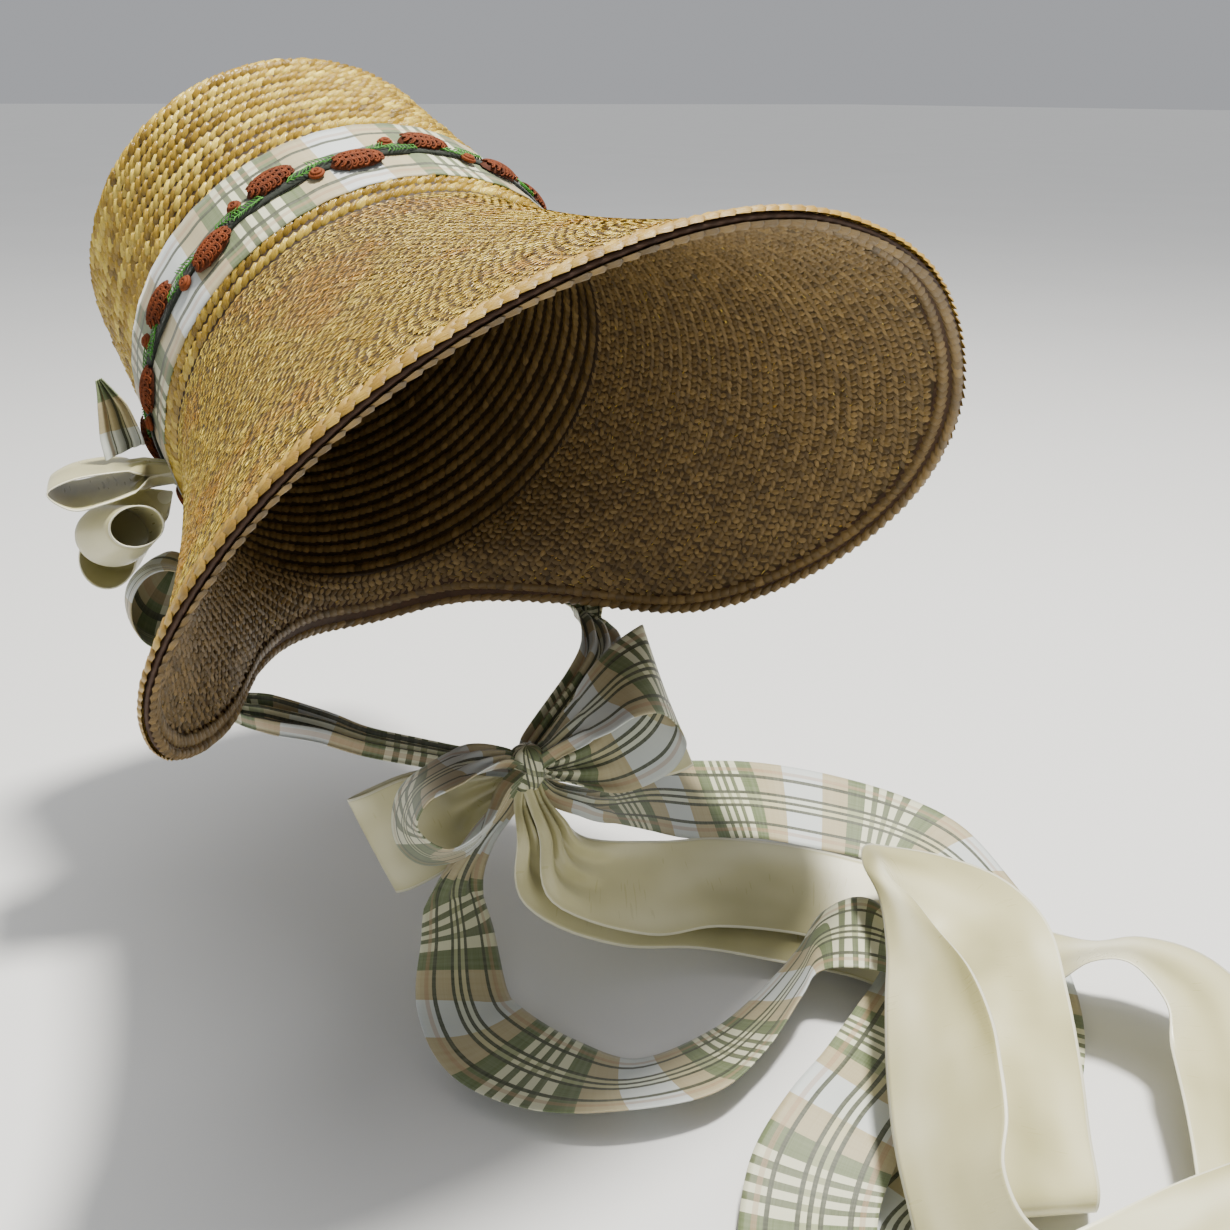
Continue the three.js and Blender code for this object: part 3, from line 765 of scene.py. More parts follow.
# %% [markdown]
# ## Brim
# The brim goes on from the crown in the same spiral, flatter and finer, and its rows stop at the two
# heavier rows of the edge. Each row has two lines of short strokes that slant opposite ways, so every
# stitch makes a small V. The rows are finer outside than underneath. All strokes have their ridge
# towards the head: underneath it stands out of the straw, and outside only their rims show.

# %% Brim shell
PROFILE = np.linspace(0, 1, 61)
UNDER_STRANDS = 0.55


def brim_share(degrees, distance):
    """Share of the way out at a distance measured along the straw, and the whole reach."""
    points = on_brim(degrees[:, None], PROFILE[None, :])
    steps = np.linalg.norm(np.diff(points, axis=1), axis=2)
    length = np.concatenate([np.zeros((len(degrees), 1)), np.cumsum(steps, 1)], 1)
    return np.array([np.interp(distance, line, PROFILE) for line in length]), length[:, -1]


def edge_share(degrees, back):
    """Share of the way out at a distance back from the edge."""
    radius, drop = brim_edge(degrees)
    reach = np.maximum(np.hypot(radius - BASE_RADIUS, drop), 2 * EDGE_PLAIT_WIDTH)
    return 1 - back / reach


def brim_place(u, v):
    degrees = v * 360
    share = edge_share(degrees, EDGE_PLAIT_WIDTH) * (1 - np.abs(2 * u - 1))
    lift = np.where(u < 0.5, -UNDER_STRANDS, UNDER_STRANDS - STRAW_WALL)
    points = on_brim(degrees, share, lift)
    points[:, 2] = np.minimum(points[:, 2], 0.0)
    return lean(points), np.stack([u, v], -1)


surface("brim_shell", 48, 240, brim_place, straw_gap_shade_in, "straw", ["brim"])


# %% Strokes of the brim's plait
AHEAD, FURTHER = 0.5, 0.01


def brim_ways(degrees, share, share_ahead, lift):
    """Place on the brim, the way round it, the way to its edge and the way out of the straw."""
    place = on_brim(degrees, share, lift)
    round_way = unit(on_brim(degrees + AHEAD, share_ahead, lift) - place)
    down = unit(on_brim(degrees, share + FURTHER, lift) - place)
    return place, round_way, down, unit(np.cross(down, round_way))


def brim_rows(pitch, step, slants, size, lift, first, spread, mean):
    """Strands at a constant distance from the crown, row after row, up to the edge rows."""
    spots = []
    ring = np.linspace(0, 360, 721)
    row, distance = 0, first
    _, reach = brim_share(ring, first)
    while distance < reach.max() - EDGE_PLAIT_WIDTH:
        share, _ = brim_share(ring, distance)
        length = run_along(on_brim(ring, share, lift))
        for half, slant in enumerate(slants):
            at = np.arange(step / 2 + (row % 2) * step / 2, length[-1], step)
            at = at + chance.uniform(-0.15, 0.15, len(at)) * step
            degrees = np.interp(at, length, ring)
            spot_share, spot_reach = brim_share(degrees, distance + (half - 0.5) * pitch / 2)
            keep = distance < spot_reach - EDGE_PLAIT_WIDTH - 0.5
            degrees, spot_share = degrees[keep], spot_share[keep]
            place, round_way, down, out = brim_ways(degrees, spot_share, spot_share, lift)
            along = slanted(round_way, down, slant)
            n = len(degrees)
            sizes = np.abs(chance.normal(size, np.array(size) * 0.12, (n, 3)))
            tone = chance.normal(mean, spread, n)
            tilt = chance.normal(0.3, 0.2, n)
            ways = [lean_way(way) for way in (along, -out, down)]
            spots.append((lean(place), *ways, sizes, tilt, tone))
        distance += pitch
        row += 1
    return spots


outside = brim_rows(
    pitch=2.55,
    step=3.0,
    slants=(22, -22),
    size=(4.4, 2.3, 1.1),
    lift=-0.45,
    first=1.6,
    spread=0.2,
    mean=0.62,
)
strands("brim_plait_outside", outside, straw_out)
inside = brim_rows(
    pitch=4.2,
    step=3.0,
    slants=(38, -38),
    size=(3.7, 1.9, 0.7),
    lift=0.45 - STRAW_WALL,
    first=2.2,
    spread=0.16,
    mean=0.5,
)
strands("brim_plait_inside", inside, straw_in_shaded)

# %% [markdown]
# ## Edge of the brim
# Two heavy rows of plait finish the brim, one over and one under, with a seam between them along
# the very edge that is coloured deep brown as painted shade. The stems there are long and lie almost
# along the edge, which gives it its rope-like scallops.

# %% Edge core and its two ropes
CORE_BACK = 0.9


def edge_place(u, v):
    degrees = v * 360
    turn = FULL_TURN * u
    back = EDGE_PLAIT_WIDTH / 2 * (1 + np.cos(turn)) + CORE_BACK
    over = (EDGE_PLAIT_THICK / 2 - CORE_BACK) * np.sin(turn)
    points = on_brim(degrees, edge_share(degrees, back), -STRAW_WALL / 2 + over)
    return lean(points), np.stack([u, v], -1)


surface("edge_core", 12, 360, edge_place, straw_groove_shade, "straw_edge", ["brim_edge_plait"])


ROPE_TILT, ROPE_ROUND = 0.6, 4.0


def edge_rope(back, lift, slant, size, pitch, shade):
    """One row of long stems: how far it lies back from the edge and how high, and how they slant."""
    ring = np.linspace(0, 360, 1441)
    length = run_along(on_brim(ring, edge_share(ring, back), lift))
    count = int(length[-1] / pitch)
    degrees = np.interp(np.arange(count) * length[-1] / count, length, ring)
    shares = edge_share(degrees, back), edge_share(degrees + AHEAD, back)
    place, round_way, down, out = brim_ways(degrees, *shares, lift)
    side = 1 if lift > -STRAW_WALL / 2 else -1
    along = slanted(round_way, down, slant)
    sizes = np.abs(chance.normal(size, np.array(size) * 0.06, (count, 3)))
    tone = chance.normal(shade, 0.12, count)
    ways = [lean_way(way) for way in (along, out * side, down)]
    return (lean(place), *ways, sizes, np.full(count, ROPE_TILT), tone)


top = EDGE_PLAIT_THICK / 2 - STRAW_WALL / 2
bottom = -STRAW_WALL - top
over = [
    edge_rope(2.1, top - 0.8, slant=16, size=(6.8, 3.2, 1.0), pitch=4.2, shade=0.45),
    edge_rope(6.2, top - 1.0, slant=-26, size=(6.0, 3.6, 1.1), pitch=3.6, shade=0.5),
]
under = [
    edge_rope(2.3, bottom + 0.9, slant=16, size=(6.6, 3.2, 1.2), pitch=4.2, shade=0.4),
    edge_rope(6.4, bottom + 1.0, slant=-26, size=(6.0, 3.8, 0.9), pitch=3.6, shade=0.35),
]
strands("edge_plait_over", over, straw_rim, fine=False, row_round=ROPE_ROUND)
# The under rope uses the inside straw, which is painted darker as shade.
strands("edge_plait_under", under, straw_in_shaded, fine=False, row_round=ROPE_ROUND)

# %% [markdown]
# ## Plaid taffeta and satin
# The plaid has fine dark green lines along the ribbon, three in the middle and one near each edge,
# and a tan line outside those. Across it runs a repeat of sage, beige and bluish white, with three
# grey-green bars in a white field. The satin is cream with a soft gloss and a faint rib, and broad
# lighter and darker patches are painted into its colour as painted sheen and shade.


# %% Cloth looks
PLAID_REPEAT = 0.070
GREEN_LINES = (0.41, 0.495, 0.58, 0.805)


def plaid_look(name):
    look = Look(name, 0.55, Sheen_Weight=0.25, Sheen_Roughness=0.4)
    u, v = look.uv()
    repeat = (v / PLAID_REPEAT).math("FRACT")
    sage, beige = colour(88, 102, 62), colour(166, 154, 118)
    white, milk, bar = colour(190, 196, 194), colour(200, 200, 170), colour(84, 94, 60)
    edges = [(0.0, sage), (0.1, beige), (0.257, white), (0.486, beige), (0.643, sage), (0.743, milk)]
    for k in range(3):
        edges += [(0.785 + 0.066 * k, bar), (0.815 + 0.066 * k, milk)]
    cloth = look.ramp(repeat, edges, "CONSTANT")
    middle = u.near(0.495, 0.085)
    cloth = look.mix(middle * 0.35, cloth, colour(206, 208, 160))
    tan = u.near(0.11, 0.022).math("MAXIMUM", u.near(0.89, 0.022))
    cloth = look.mix(tan * 0.45, cloth, colour(156, 116, 84))
    line = u.near(0.195, 0.022)
    for at in GREEN_LINES:
        line = line.math("MAXIMUM", u.near(at, 0.019))
    cloth = look.mix(line * 0.96, cloth, colour(40, 48, 24))
    thread = look.noise(look.join(u * 1.2, v * 900), 1.0, 1.0)
    warp = look.noise(look.join(u * 90, v * 30), 1.0, 1.0)
    weave = thread * 0.5 + warp * 0.5
    look.base(look.mix((weave - 0.3) * 0.3, cloth, colour(230, 228, 206)))
    look.rough(weave * 0.3 + 0.4)
    look.bump(weave, 0.12, 0.5)
    return look.material


def satin_look(name):
    look = Look(name, 0.34, Sheen_Weight=0.2, Sheen_Roughness=0.3, Specular_IOR_Level=0.6)
    u, v = look.uv()
    rib = look.noise(look.join(u * 3, v * 700), 1.0, 1.0)
    cloud_and_sheen = look.noise(look.join(u * 1.5, v * 25), 1.0, 2.0)
    billow_and_sheen = look.noise(look.join(u * 1.3, v * 11), 1.0, 1.0)
    # Painted sheen: broad lighter and darker patches in the satin's colour stand in for its shifting
    # gloss.
    sheen_creams = colour(156, 150, 104), colour(196, 190, 144), colour(224, 220, 184)
    shade = look.ramp(billow_and_sheen * 0.75 + cloud_and_sheen * 0.25, list(zip((0.34, 0.5, 0.64), sheen_creams)))
    selvedge = (u < 0.022).math("MAXIMUM", u > 0.978)
    look.base(look.mix(selvedge * 0.6, shade, colour(236, 234, 214)))
    look.rough(rib * 0.1 + cloud_and_sheen * 0.1 + 0.2 + selvedge * 0.2)
    look.bump(rib * 0.35 + cloud_and_sheen * 1.5 + billow_and_sheen * 2, 0.15, 0.5)
    return look.material


plaid = plaid_look("plaid taffeta"), "plaid_taffeta"
satin = satin_look("cream satin"), "cream_satin"

# %% [markdown]
# ## Ribbons
# A ribbon is a sheet 40 mm wide that follows its stations. Where it runs into the knot the cloth is
# squeezed to a third of its width or less, so it rises in pleats there, which take up much of what
# the width loses. The plaid's bars stay square to the ribbon's edge, also where it is folded
# slantwise. A last stretch is tucked inside the knot, so that no gap shows.


# %% Ribbon maker
PLEATS, DEEPEST_PLEAT, GATHERED_BELOW = 3, 2.4, 31
CLOTH_THICK = 0.45
TUCKED_SHARE, TUCKED_WIDTH = 0.75, 8
flat_sizes = {}


def ribbon_place(table, wave=0.35):
    """A place function for a ribbon through its stations, and its length in metres."""
    last = len(table) - 1
    fine = np.linspace(0, last, 40 * last + 1)
    run = run_along(smooth(table[:, :3], fine))

    def place(u, v):
        t = v * last
        row = smooth(table, t)
        ahead = smooth(table[:, :3], np.minimum(t + 0.05, last))
        behind = smooth(table[:, :3], np.maximum(t - 0.05, 0))
        along = unit(ahead - behind)
        across = unit(row[:, 3:6])
        out = unit(np.cross(along, across))
        width = row[:, 6]
        side = (2 * u - 1)[:, None]
        points = row[:, :3] + across * side * width[:, None] / 2
        slack = np.clip(GATHERED_BELOW / np.maximum(width, 5), 1, 4)
        depth = width / (FULL_TURN * PLEATS) * np.sqrt(2 * (slack**2 - 1))
        depth = np.minimum(depth, DEEPEST_PLEAT)
        rise = depth * np.cos(FULL_TURN * PLEATS * u + 0.4) * (slack > 1.0)
        rise = rise + wave * np.sin(2.1 * t + 1.3) * np.cos(math.pi * (u - 0.5)) * (width > 30)
        if table.shape[1] > 7:
            rise = rise - row[:, 7] * (1 - np.sqrt((2 * u - 1) ** 2 + 0.02))
        points = points + out * rise[:, None]
        shear = np.sum(along * across, -1) * (2 * u - 1) * width / 2
        length = np.interp(t, fine, run) + shear
        return points * MM, np.stack([u, length * MM], -1)

    return place, run[-1] * MM


def tucked(table, ends):
    """Adds a row inside the knot before the first or after the last, so that no gap shows there."""
    for end in ends:
        row = table[end].copy()
        row[:3] = row[:3] + (np.array(KNOT_AT) - row[:3]) * TUCKED_SHARE
        row[6] = min(row[6], TUCKED_WIDTH)
        table = np.vstack([row, table]) if end == 0 else np.vstack([table, row])
    return table


def ribbon(node, table, cloth, columns=20, ends=()):
    """The cloth of one ribbon node, declared with the size it was cut to."""
    table = tucked(table, ends)
    place, length = ribbon_place(table)
    name = node + "_cloth"
    piece = surface(name, columns, 7 * (len(table) - 1), place, *cloth, [node], CLOTH_THICK)
    flat_sizes[name] = [RIBBON_WIDTH * MM, round(length, 3)]


def tie_table(side):
    """The tie down the outside of the brim and on to the knot; side -1 is the wearer's right."""
    outside = []
    for angle, share, lift, width in TIE_OUTSIDE:
        turns = np.array([-4, 0, 4])
        before, middle, after = lean(on_brim(-side * (angle + turns), share + 0 * turns, lift))
        outside.append([*(middle / MM), *(unit(after - before) * 10), width])
    mirrored = TIE_TO_KNOT * [-side, 1, 1, -side, 1, 1, 1]
    return np.array([*outside, *mirrored])


# %% Hat band
def band_place(u, v):
    degrees = v * 360 - 180
    h = BAND_FROM + RIBBON_WIDTH * u
    turn = np.radians(degrees)
    pucker = 0.25 * np.sin(turn * 17 + 3 * u) * np.sin(math.pi * u) + 0.12 * np.sin(turn * 41)
    radius = side_radius(h) + 1.25 + pucker
    return lean(around(degrees, radius, h)), np.stack([u, v * band_length], -1)


band_length = FULL_TURN * BAND_RADIUS * MM
band = surface("hat_band_cloth", 16, 240, band_place, *plaid, ["hat_band"], 0.5)
flat_sizes["hat_band_cloth"] = [RIBBON_WIDTH * MM, round(band_length, 3)]

# %% Chin ties, knot, bow and free ends
for side, name in ((-1, "right"), (1, "left")):
    tie = tie_table(side)
    ribbon("chin_tie_" + name, tie, plaid, columns=24, ends=(-1,))


def knot_place(u, v):
    """A barrel of cloth wound round the gathered ribbons, with the folds of its winding."""
    turn = FULL_TURN * v
    z = KNOT_HEIGHT * (u - 0.5)
    radius = KNOT_RADIUS * np.power(np.maximum(1 - np.abs(2 * u - 1) ** 2.6, 0.0), 0.45) + 0.35
    fold = np.abs(np.cos(turn * 2.5 + 1.2 * np.sin(3 * u)))
    radius = radius * (0.86 + 0.2 * np.sqrt(fold)) * (u > 0) * (u < 1)
    lump = 1 + 0.06 * np.sin(turn * 2 + 1)
    points = np.stack([radius * np.cos(turn) * lump, radius * np.sin(turn), z], -1)
    winding = np.stack([np.mod(v * 2 + u * 0.15, 1), z * MM + 0.05 + v * 0.02], -1)
    return (points + KNOT_AT) * MM, winding


surface("chin_knot_cloth", 24, 80, knot_place, *plaid, ["chin_knot"])

chin_loops = {
    "chin_bow_plaid_loop_right": (PLAID_LOOP_RIGHT, plaid),
    "chin_bow_plaid_loop_left": (PLAID_LOOP_LEFT, plaid),
    "chin_bow_satin_loop_right": (SATIN_LOOP_RIGHT, satin),
    "chin_bow_satin_loop_left": (SATIN_LOOP_LEFT, satin),
}
for node, (table, cloth) in chin_loops.items():
    ribbon(node, table, cloth, columns=24, ends=(0, -1))
ribbon("plaid_tail_near", PLAID_TAIL_NEAR, plaid, ends=(0,))
ribbon("plaid_tail_far", PLAID_TAIL_FAR, plaid, ends=(0,))
ribbon("satin_tail_far", SATIN_TAIL_FAR, satin, ends=(0,))
ribbon("satin_tail_near", SATIN_TAIL_NEAR, satin, ends=(0,))

# %% [markdown]
# ## Side bow
# Loops of satin and plaid sit close together on the band at the wearer's right, with one folded end
# that stands up like a leaf. Three loops are seen from their ends, as soft oval tubes that close
# where they are sewn down, so an oval is swept from its near rim to that point. The upper satin loop
# is a ribbon that goes out from the band and comes back.

# %% Bow loops
SIDE_BOW_AT, SIDE_BOW_TURN = np.array([-82, 25, -30]), math.radians(-15)


def bow_to_room(points):
    x, y, z = np.moveaxis(points, -1, 0)
    c, s = math.cos(SIDE_BOW_TURN), math.sin(SIDE_BOW_TURN)
    return (np.stack([x * c - y * s, x * s + y * c, z], -1) + SIDE_BOW_AT) * MM


CLOSES_FROM, RIM_OUT = 0.62, 0.5


def oval_loop(node, rims, cloth, root):
    """A loop seen from its end: a band that bellies out from its near rim and closes at its root."""
    near, far = rims

    def place(u, v):
        turn = FULL_TURN * v
        row = near + (far - near) * u[:, None]
        swell = 1 + 0.06 * np.sin(math.pi * u) + 0.03 * np.sin(2 * turn + 4 * u)
        close = np.clip((u - CLOSES_FROM) / (1 - CLOSES_FROM), 0, 1)
        swell = swell * np.sqrt(np.maximum(1 - close**2, 0.0004))
        row[:, :3] += (np.array(root) - row[:, :3]) * (close**2)[:, None]
        x = row[:, 0] + (row[:, 3] + RIM_OUT) * np.cos(turn) * swell
        z = row[:, 2] + (row[:, 4] + RIM_OUT) * np.sin(turn) * swell
        return bow_to_room(np.stack([x, row[:, 1], z], -1)), np.stack([u, v * length], -1)

    radius = (near[3:] + far[3:]).mean() / 2
    length = FULL_TURN * radius * MM
    width = float(np.linalg.norm((far - near)[:3])) * MM
    name = node + "_cloth"
    piece = surface(name, 14, 56, place, *cloth, [node], CLOTH_THICK)
    flat_sizes[name] = [round(width, 3), round(length, 3)]


def in_room(table):
    """A bow table turned into room coordinates."""
    out = table.copy()
    out[:, :3] = bow_to_room(table[:, :3]) / MM
    tip = bow_to_room(table[:, :3] + table[:, 3:6]) / MM
    out[:, 3:6] = tip - out[:, :3]
    return out


oval_loop("side_bow_satin_loop_open", TUBE_SATIN_LOOP, satin, root=(4, 8, 2))
oval_loop("side_bow_satin_loop_lower", LOWER_SATIN_LOOP, satin, root=(0, 28, -10))
oval_loop("side_bow_plaid_loop", PLAID_LOOP, plaid, root=(4, 12, -24))
to_band = np.array([6, 5, 11, 0, 10, 0, 9])
upper_loop = np.vstack([to_band, UPPER_SATIN_LOOP, to_band - [0, 0, 2, 0, 0, 0, 0]])
ribbon("side_bow_satin_loop_upper", in_room(upper_loop), satin)

# %% Folded end that stands like a leaf
LEAF_WIDTH = 0.022
leaf_place, leaf_length = ribbon_place(in_room(LEAF_TAIL), wave=0.0)
leaf_nodes = ["side_bow_leaf_tail"]
leaf = surface("side_bow_leaf_tail_cloth", 16, 40, leaf_place, *plaid, leaf_nodes, CLOTH_THICK)
flat_sizes["side_bow_leaf_tail_cloth"] = [LEAF_WIDTH, round(leaf_length, 3)]

# %% [markdown]
# ## Velvet trim with pine cones
# A narrow strip of dark velvet runs round the middle of the band. Cones are worked on it in
# overlapping scallops of brown thread, with a small coiled knot between each pair and bright green
# needles behind them. Cones and knots lie by turns above and below the strip's middle.


# %% Threads
def between_rings(a, b, sides):
    """Triangles between two rings of points, which start at places a and b."""
    faces = []
    for j in range(sides):
        k = (j + 1) % sides
        faces += [(a + j, b + j, b + k), (a + j, b + k, a + k)]
    return faces


def tube(line, radius, sides=4, closed=False):
    """Points and triangles of a thin thread along a line."""
    line = np.asarray(line, float)
    n = len(line)
    ahead = np.roll(line, -1, 0) if closed else np.vstack([line[1:], 2 * line[-1] - line[-2]])
    behind = np.roll(line, 1, 0) if closed else np.vstack([2 * line[0] - line[1], line[:-1]])
    along = unit(ahead - behind)
    side = unit(np.cross(along, [0.05, 0.02, 1.0]))
    up = np.cross(side, along)
    turn = (np.arange(sides) * FULL_TURN / sides)[:, None]
    radius = np.broadcast_to(radius, n)[:, None, None]
    ring = line[:, None] + radius * (side[:, None] * np.cos(turn) + up[:, None] * np.sin(turn))
    faces = []
    for i in range(n if closed else n - 1):
        faces += between_rings(i * sides, ((i + 1) % n) * sides, sides)
    return ring.reshape(-1, 3), np.array(faces)


def joined(parts):
    """Several point and triangle sets as one, with a tone for each."""
    points, faces, tones, base = [], [], [], 0
    for p, f, tone in parts:
        points.append(p)
        faces.append(f + base)
        tones.append(np.full(len(p), tone))
        base += len(p)
    return np.vstack(points), np.vstack(faces), np.concatenate(tones)


def dome(length, width, rise, columns=12, levels=4):
    """A low dome over an oval, its middle at the origin."""
    turn = np.arange(columns) * FULL_TURN / columns
    points = [(0, 0, rise)]
    for level in range(1, levels + 1):
        down = math.pi / 2 * level / levels
        long, wide = length / 2 * math.sin(down), width / 2 * math.sin(down)
        points += [(long * math.cos(a), wide * math.sin(a), rise * math.cos(down)) for a in turn]
    faces = [(0, 1 + j, 1 + (j + 1) % columns) for j in range(columns)]
    for level in range(levels - 1):
        faces += between_rings(1 + level * columns, 1 + (level + 1) * columns, columns)
    return np.array(points, float), np.array(faces)


# %% One cone, one knot and one sprig of needles, in the flat
CONES, CONE_LENGTH, CONE_WIDTH, CONE_RISE = 19, 18, 10, 2.6
SCALLOP_ROWS, SCALLOP_ROW, SCALLOP_WIDTH = 9, 1.75, 2.3
NEEDLES, NEEDLE_LENGTH = 8, 4.4


def dome_height(x, y):
    left = 1 - (2 * x / CONE_LENGTH) ** 2 - (2 * y / CONE_WIDTH) ** 2
    return CONE_RISE * math.sqrt(max(0.0, left))


cone_parts = [(*dome(CONE_LENGTH * 0.96, CONE_WIDTH * 0.96, CONE_RISE), 0.15)]
scallop = np.linspace(-1.9, 1.9, 7)
for r in range(SCALLOP_ROWS):
    x = -CONE_LENGTH / 2 + 2.2 + r * SCALLOP_ROW
    reach = CONE_WIDTH / 2 * math.sqrt(max(0.0, 1 - (2 * x / CONE_LENGTH) ** 2))
    many = max(int(reach * 2 / SCALLOP_WIDTH), 1)
    for j in range(many):
        y = (j - (many - 1) / 2) * SCALLOP_WIDTH
        for ring, radius in enumerate((1.4, 0.8)):
            line = [(x + radius * math.cos(a), y + radius * math.sin(a)) for a in scallop]
            line = [(px, py, dome_height(px * 0.97, py * 0.97) + 0.28) for px, py in line]
            shade = 0.6 - 0.15 * ring + chance.uniform(-0.3, 0.3)
            cone_parts.append((*tube(line, 0.38), shade))
cone_form = joined(cone_parts)

knot_parts = [(*dome(2.0, 2.0, 2.2, 8, 3), 0.5)]
turn = np.arange(12) * FULL_TURN / 12
for radius, height in ((2.1, 0.6), (1.3, 1.3)):
    coil = np.stack([radius * np.cos(turn), radius * np.sin(turn), 0 * turn + height], -1)
    knot_parts.append((*tube(coil, 0.7, sides=5, closed=True), 0.7))
knot_form = joined(knot_parts)

sprig_parts = []
for j in range(NEEDLES):
    x = -5.5 + j * 1.5
    for sign in (-1, 1):
        sweep = 0.65 + 0.06 * j + chance.uniform(-0.15, 0.15)
        length = NEEDLE_LENGTH - 0.2 * abs(j - NEEDLES / 2)
        tip = (x + length * math.cos(sweep), sign * length * math.sin(sweep) * 0.75, 1.2)
        middle = ((x + tip[0]) / 2, tip[1] / 2, 1.5)
        needle = tube([(x, 0, 0.5), middle, tip], np.array([0.24, 0.24, 0.1]))
        sprig_parts.append((*needle, chance.uniform(0.2, 1)))
sprig_form = joined(sprig_parts)
print("cone, knot, sprig triangles:", len(cone_form[1]), len(knot_form[1]), len(sprig_form[1]))


# %% Thread looks and the strip
def thread_look(name, dark, light, rough):
    look = Look(name, rough, Specular_IOR_Level=0.3)
    ply = look.noise(look.object_place(), 1500.0, 2.0)
    look.base(look.ramp(look.tone() * 0.8 + ply * 0.4 - 0.1, [(0.0, dark), (1.0, light)]))
    look.bump(ply, 0.15, 0.6)
    return look.material


cone_thread = thread_look("cone thread", colour(44, 18, 4), colour(128, 60, 20), 0.8)
needle_thread = thread_look("needle thread", colour(12, 58, 14), colour(80, 150, 52), 0.6)

velvet = Look("velvet", 0.95, Sheen_Weight=0.7, Sheen_Roughness=0.35)
pile = velvet.noise(velvet.object_place(), 900.0, 3.0)
velvet.base(velvet.mix(pile, colour(10, 14, 8), colour(34, 42, 30)))
velvet.bump(pile, 0.4, 0.9)
BAND_LIFT = 2.0
FORM_LIFT = BAND_LIFT + 0.3


def strip_place(u, v):
    """The velvet strip's flat section, swept round the band with a slow sway."""
    degrees = v * 360
    turn = FULL_TURN * u
    h = TRIM_MIDDLE + TRIM_WIDTH / 2 * np.sign(np.cos(turn)) * np.abs(np.cos(turn)) ** 0.4
    h = h + 0.5 * np.sin(np.radians(degrees) * 9.5 + 0.6)
    lift = BAND_LIFT + 0.7 * np.sin(turn)
    return lean(around(degrees, side_radius(h) + lift, h)), np.stack([u, v], -1)


surface("velvet_strip", 12, 300, strip_place, velvet.material, "velvet_trim", ["pine_cone_trim"])


def worked(name, form, spots, look):
    """Copies a flat form on to the band at each spot: degrees, height, turn and size."""
    points, faces, tone = form
    every, tones = [], []
    for degrees, height, turn, size in spots:
        c, s = math.cos(turn) * size, math.sin(turn) * size
        x = points[:, 0] * c - points[:, 1] * s
        h = height + points[:, 0] * s + points[:, 1] * c
        way_round = degrees + np.degrees(x / (side_radius(height) + FORM_LIFT))
        radius = side_radius(h) + FORM_LIFT + points[:, 2] * size
        every.append(lean(around(way_round, radius, h)))
        tones.append(tone + chance.uniform(-0.12, 0.12))
    offset = (np.arange(len(spots)) * len(points))[:, None, None]
    all_faces = (faces[None] + offset).reshape(-1, 3)
    mesh = mesh_of(name, np.vstack(every), all_faces, np.concatenate(tones))
    print(f"{name}: {len(spots)} copies")
    return finish(name, mesh, look)


SWAY, STEP, FIRST_CONE, FIRST_KNOT = 4, 360 / CONES, 5.5, 15
cones, knots, sprigs = [], [], []
for k in range(-(CONES // 2), CONES // 2 + 1):
    high = SWAY if k % 2 == 0 else -SWAY
    cones.append((FIRST_CONE + STEP * k, TRIM_MIDDLE + high, chance.uniform(-0.25, 0.25), 1.0))
    knots.append((FIRST_KNOT + STEP * k, TRIM_MIDDLE - high, 0.0, 1.0))
for degrees, height, _, _ in cones:
    for way, back in ((-1, math.pi), (1, 0.0)):
        low = TRIM_MIDDLE - (height - TRIM_MIDDLE) * 0.25
        sprigs.append((degrees + way * 6.5, low, back + chance.uniform(-0.3, 0.3), 0.9))
worked("pine_cones", cone_form, cones, cone_thread)
worked("coiled_knots", knot_form, knots, cone_thread)
worked("needle_sprigs", sprig_form, sprigs, needle_thread)

# %% [markdown]
# ## Floor, light and camera
# A pale floor lies just under the ribbons. One small strong light hangs high above and a little in
# front, as from a skylight, so the hat's upper side is bright and its inside stays dark. A weak light
# from behind the camera, a soft sky and the pale room fill the shadows. The camera stands in front
# of the wearer and to their right, where the photograph was taken from.

# %% Floor and room
FLOOR_AT, FLOOR_HALF = -0.201, 30
ROOM_TINT, ROOM_STRENGTH = (0.93, 0.95, 1.0, 1), 0.44
bm = bmesh.new()
bmesh.ops.create_grid(bm, x_segments=2, y_segments=2, size=FLOOR_HALF)
floor_mesh = bpy.data.meshes.new("floor")
bm.to_mesh(floor_mesh)
bm.free()
floor = bpy.data.objects.new("floor", floor_mesh)
floor.location.z = FLOOR_AT
bpy.context.scene.collection.objects.link(floor)
paper = Look("pale paper", 0.9)
cloudy = paper.noise(paper.object_place(), 3.0)
paper.base(paper.mix(cloudy, colour(214, 214, 212), colour(220, 220, 218)))
floor_mesh.materials.append(paper.material)
floor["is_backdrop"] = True

world = bpy.data.worlds.new("soft room")
world.use_nodes = True
background = world.node_tree.nodes["Background"]
background.inputs["Color"].default_value = ROOM_TINT
background.inputs["Strength"].default_value = ROOM_STRENGTH
bpy.context.scene.world = world
print("floor at, m:", FLOOR_AT)


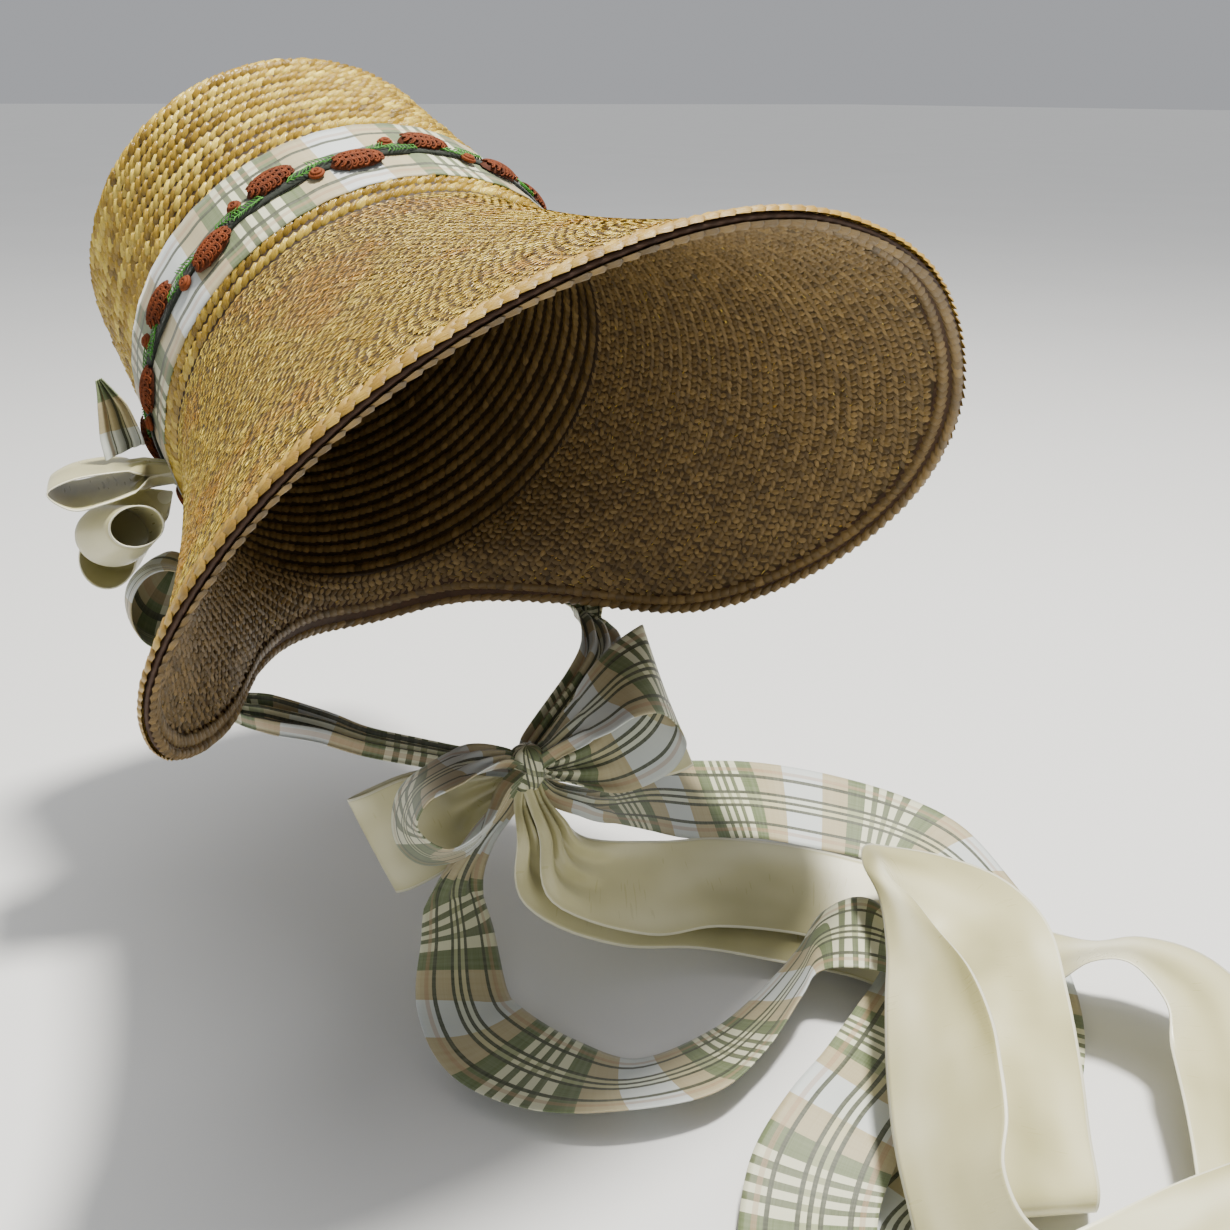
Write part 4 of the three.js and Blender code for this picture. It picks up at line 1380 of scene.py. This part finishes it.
# %% Lights
def round_light(name, place, target, size, power, tint):
    """A disc of light of a size in metres and a power in watts, turned to its target."""
    lamp = bpy.data.lights.new(name, "AREA")
    lamp.shape, lamp.size, lamp.energy, lamp.color = "DISK", size, power, tint
    holder = bpy.data.objects.new(name, lamp)
    holder.location = place
    holder.rotation_euler = (Vector(target) - Vector(place)).to_track_quat("-Z", "Y").to_euler()
    bpy.context.scene.collection.objects.link(holder)


warm, cool = (1.0, 0.97, 0.91), (0.97, 0.98, 1.0)
round_light("window", (0.25, -0.3, 1.5), (0.02, -0.05, 0.0), size=0.25, power=72, tint=warm)
round_light("fill", (-0.9, -1.2, 0.7), (0.0, -0.1, 0.0), size=0.8, power=2, tint=cool)

sky = bpy.data.lights.new("sky", "SUN")
sky.energy, sky.angle = 1.1, math.radians(40)
bpy.context.scene.collection.objects.link(bpy.data.objects.new("sky", sky))

# %% Camera
CAMERA_AT, FOCAL_LENGTH, FILM_WIDTH = (-0.216, -0.430, 0.104), 39.5, 36
turn, rise, roll = math.radians(35.7), math.radians(21.2), math.radians(0.4)
away = Vector((-math.sin(turn) * math.cos(rise), -math.cos(turn) * math.cos(rise), math.sin(rise)))
level = Vector((math.cos(turn), -math.sin(turn), 0))
upright = Vector((math.sin(turn) * math.sin(rise), math.cos(turn) * math.sin(rise), math.cos(rise)))
right = math.cos(roll) * level + math.sin(roll) * upright
up = -math.sin(roll) * level + math.cos(roll) * upright
lens = bpy.data.cameras.new("camera")
lens.sensor_fit, lens.sensor_width, lens.lens = "HORIZONTAL", FILM_WIDTH, FOCAL_LENGTH
camera = bpy.data.objects.new("camera", lens)
axes = Matrix((right, up, away)).transposed().to_4x4()
camera.matrix_world = Matrix.Translation(CAMERA_AT) @ axes
bpy.context.scene.collection.objects.link(camera)
bpy.context.scene.camera = camera
print("camera at, m:", CAMERA_AT)

# %% Measure and print the sizes
low, high_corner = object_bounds()
print("visual box, m:", [round(v, 3) for v in (*low, *high_corner)])
print("flat sizes, m:", flat_sizes)
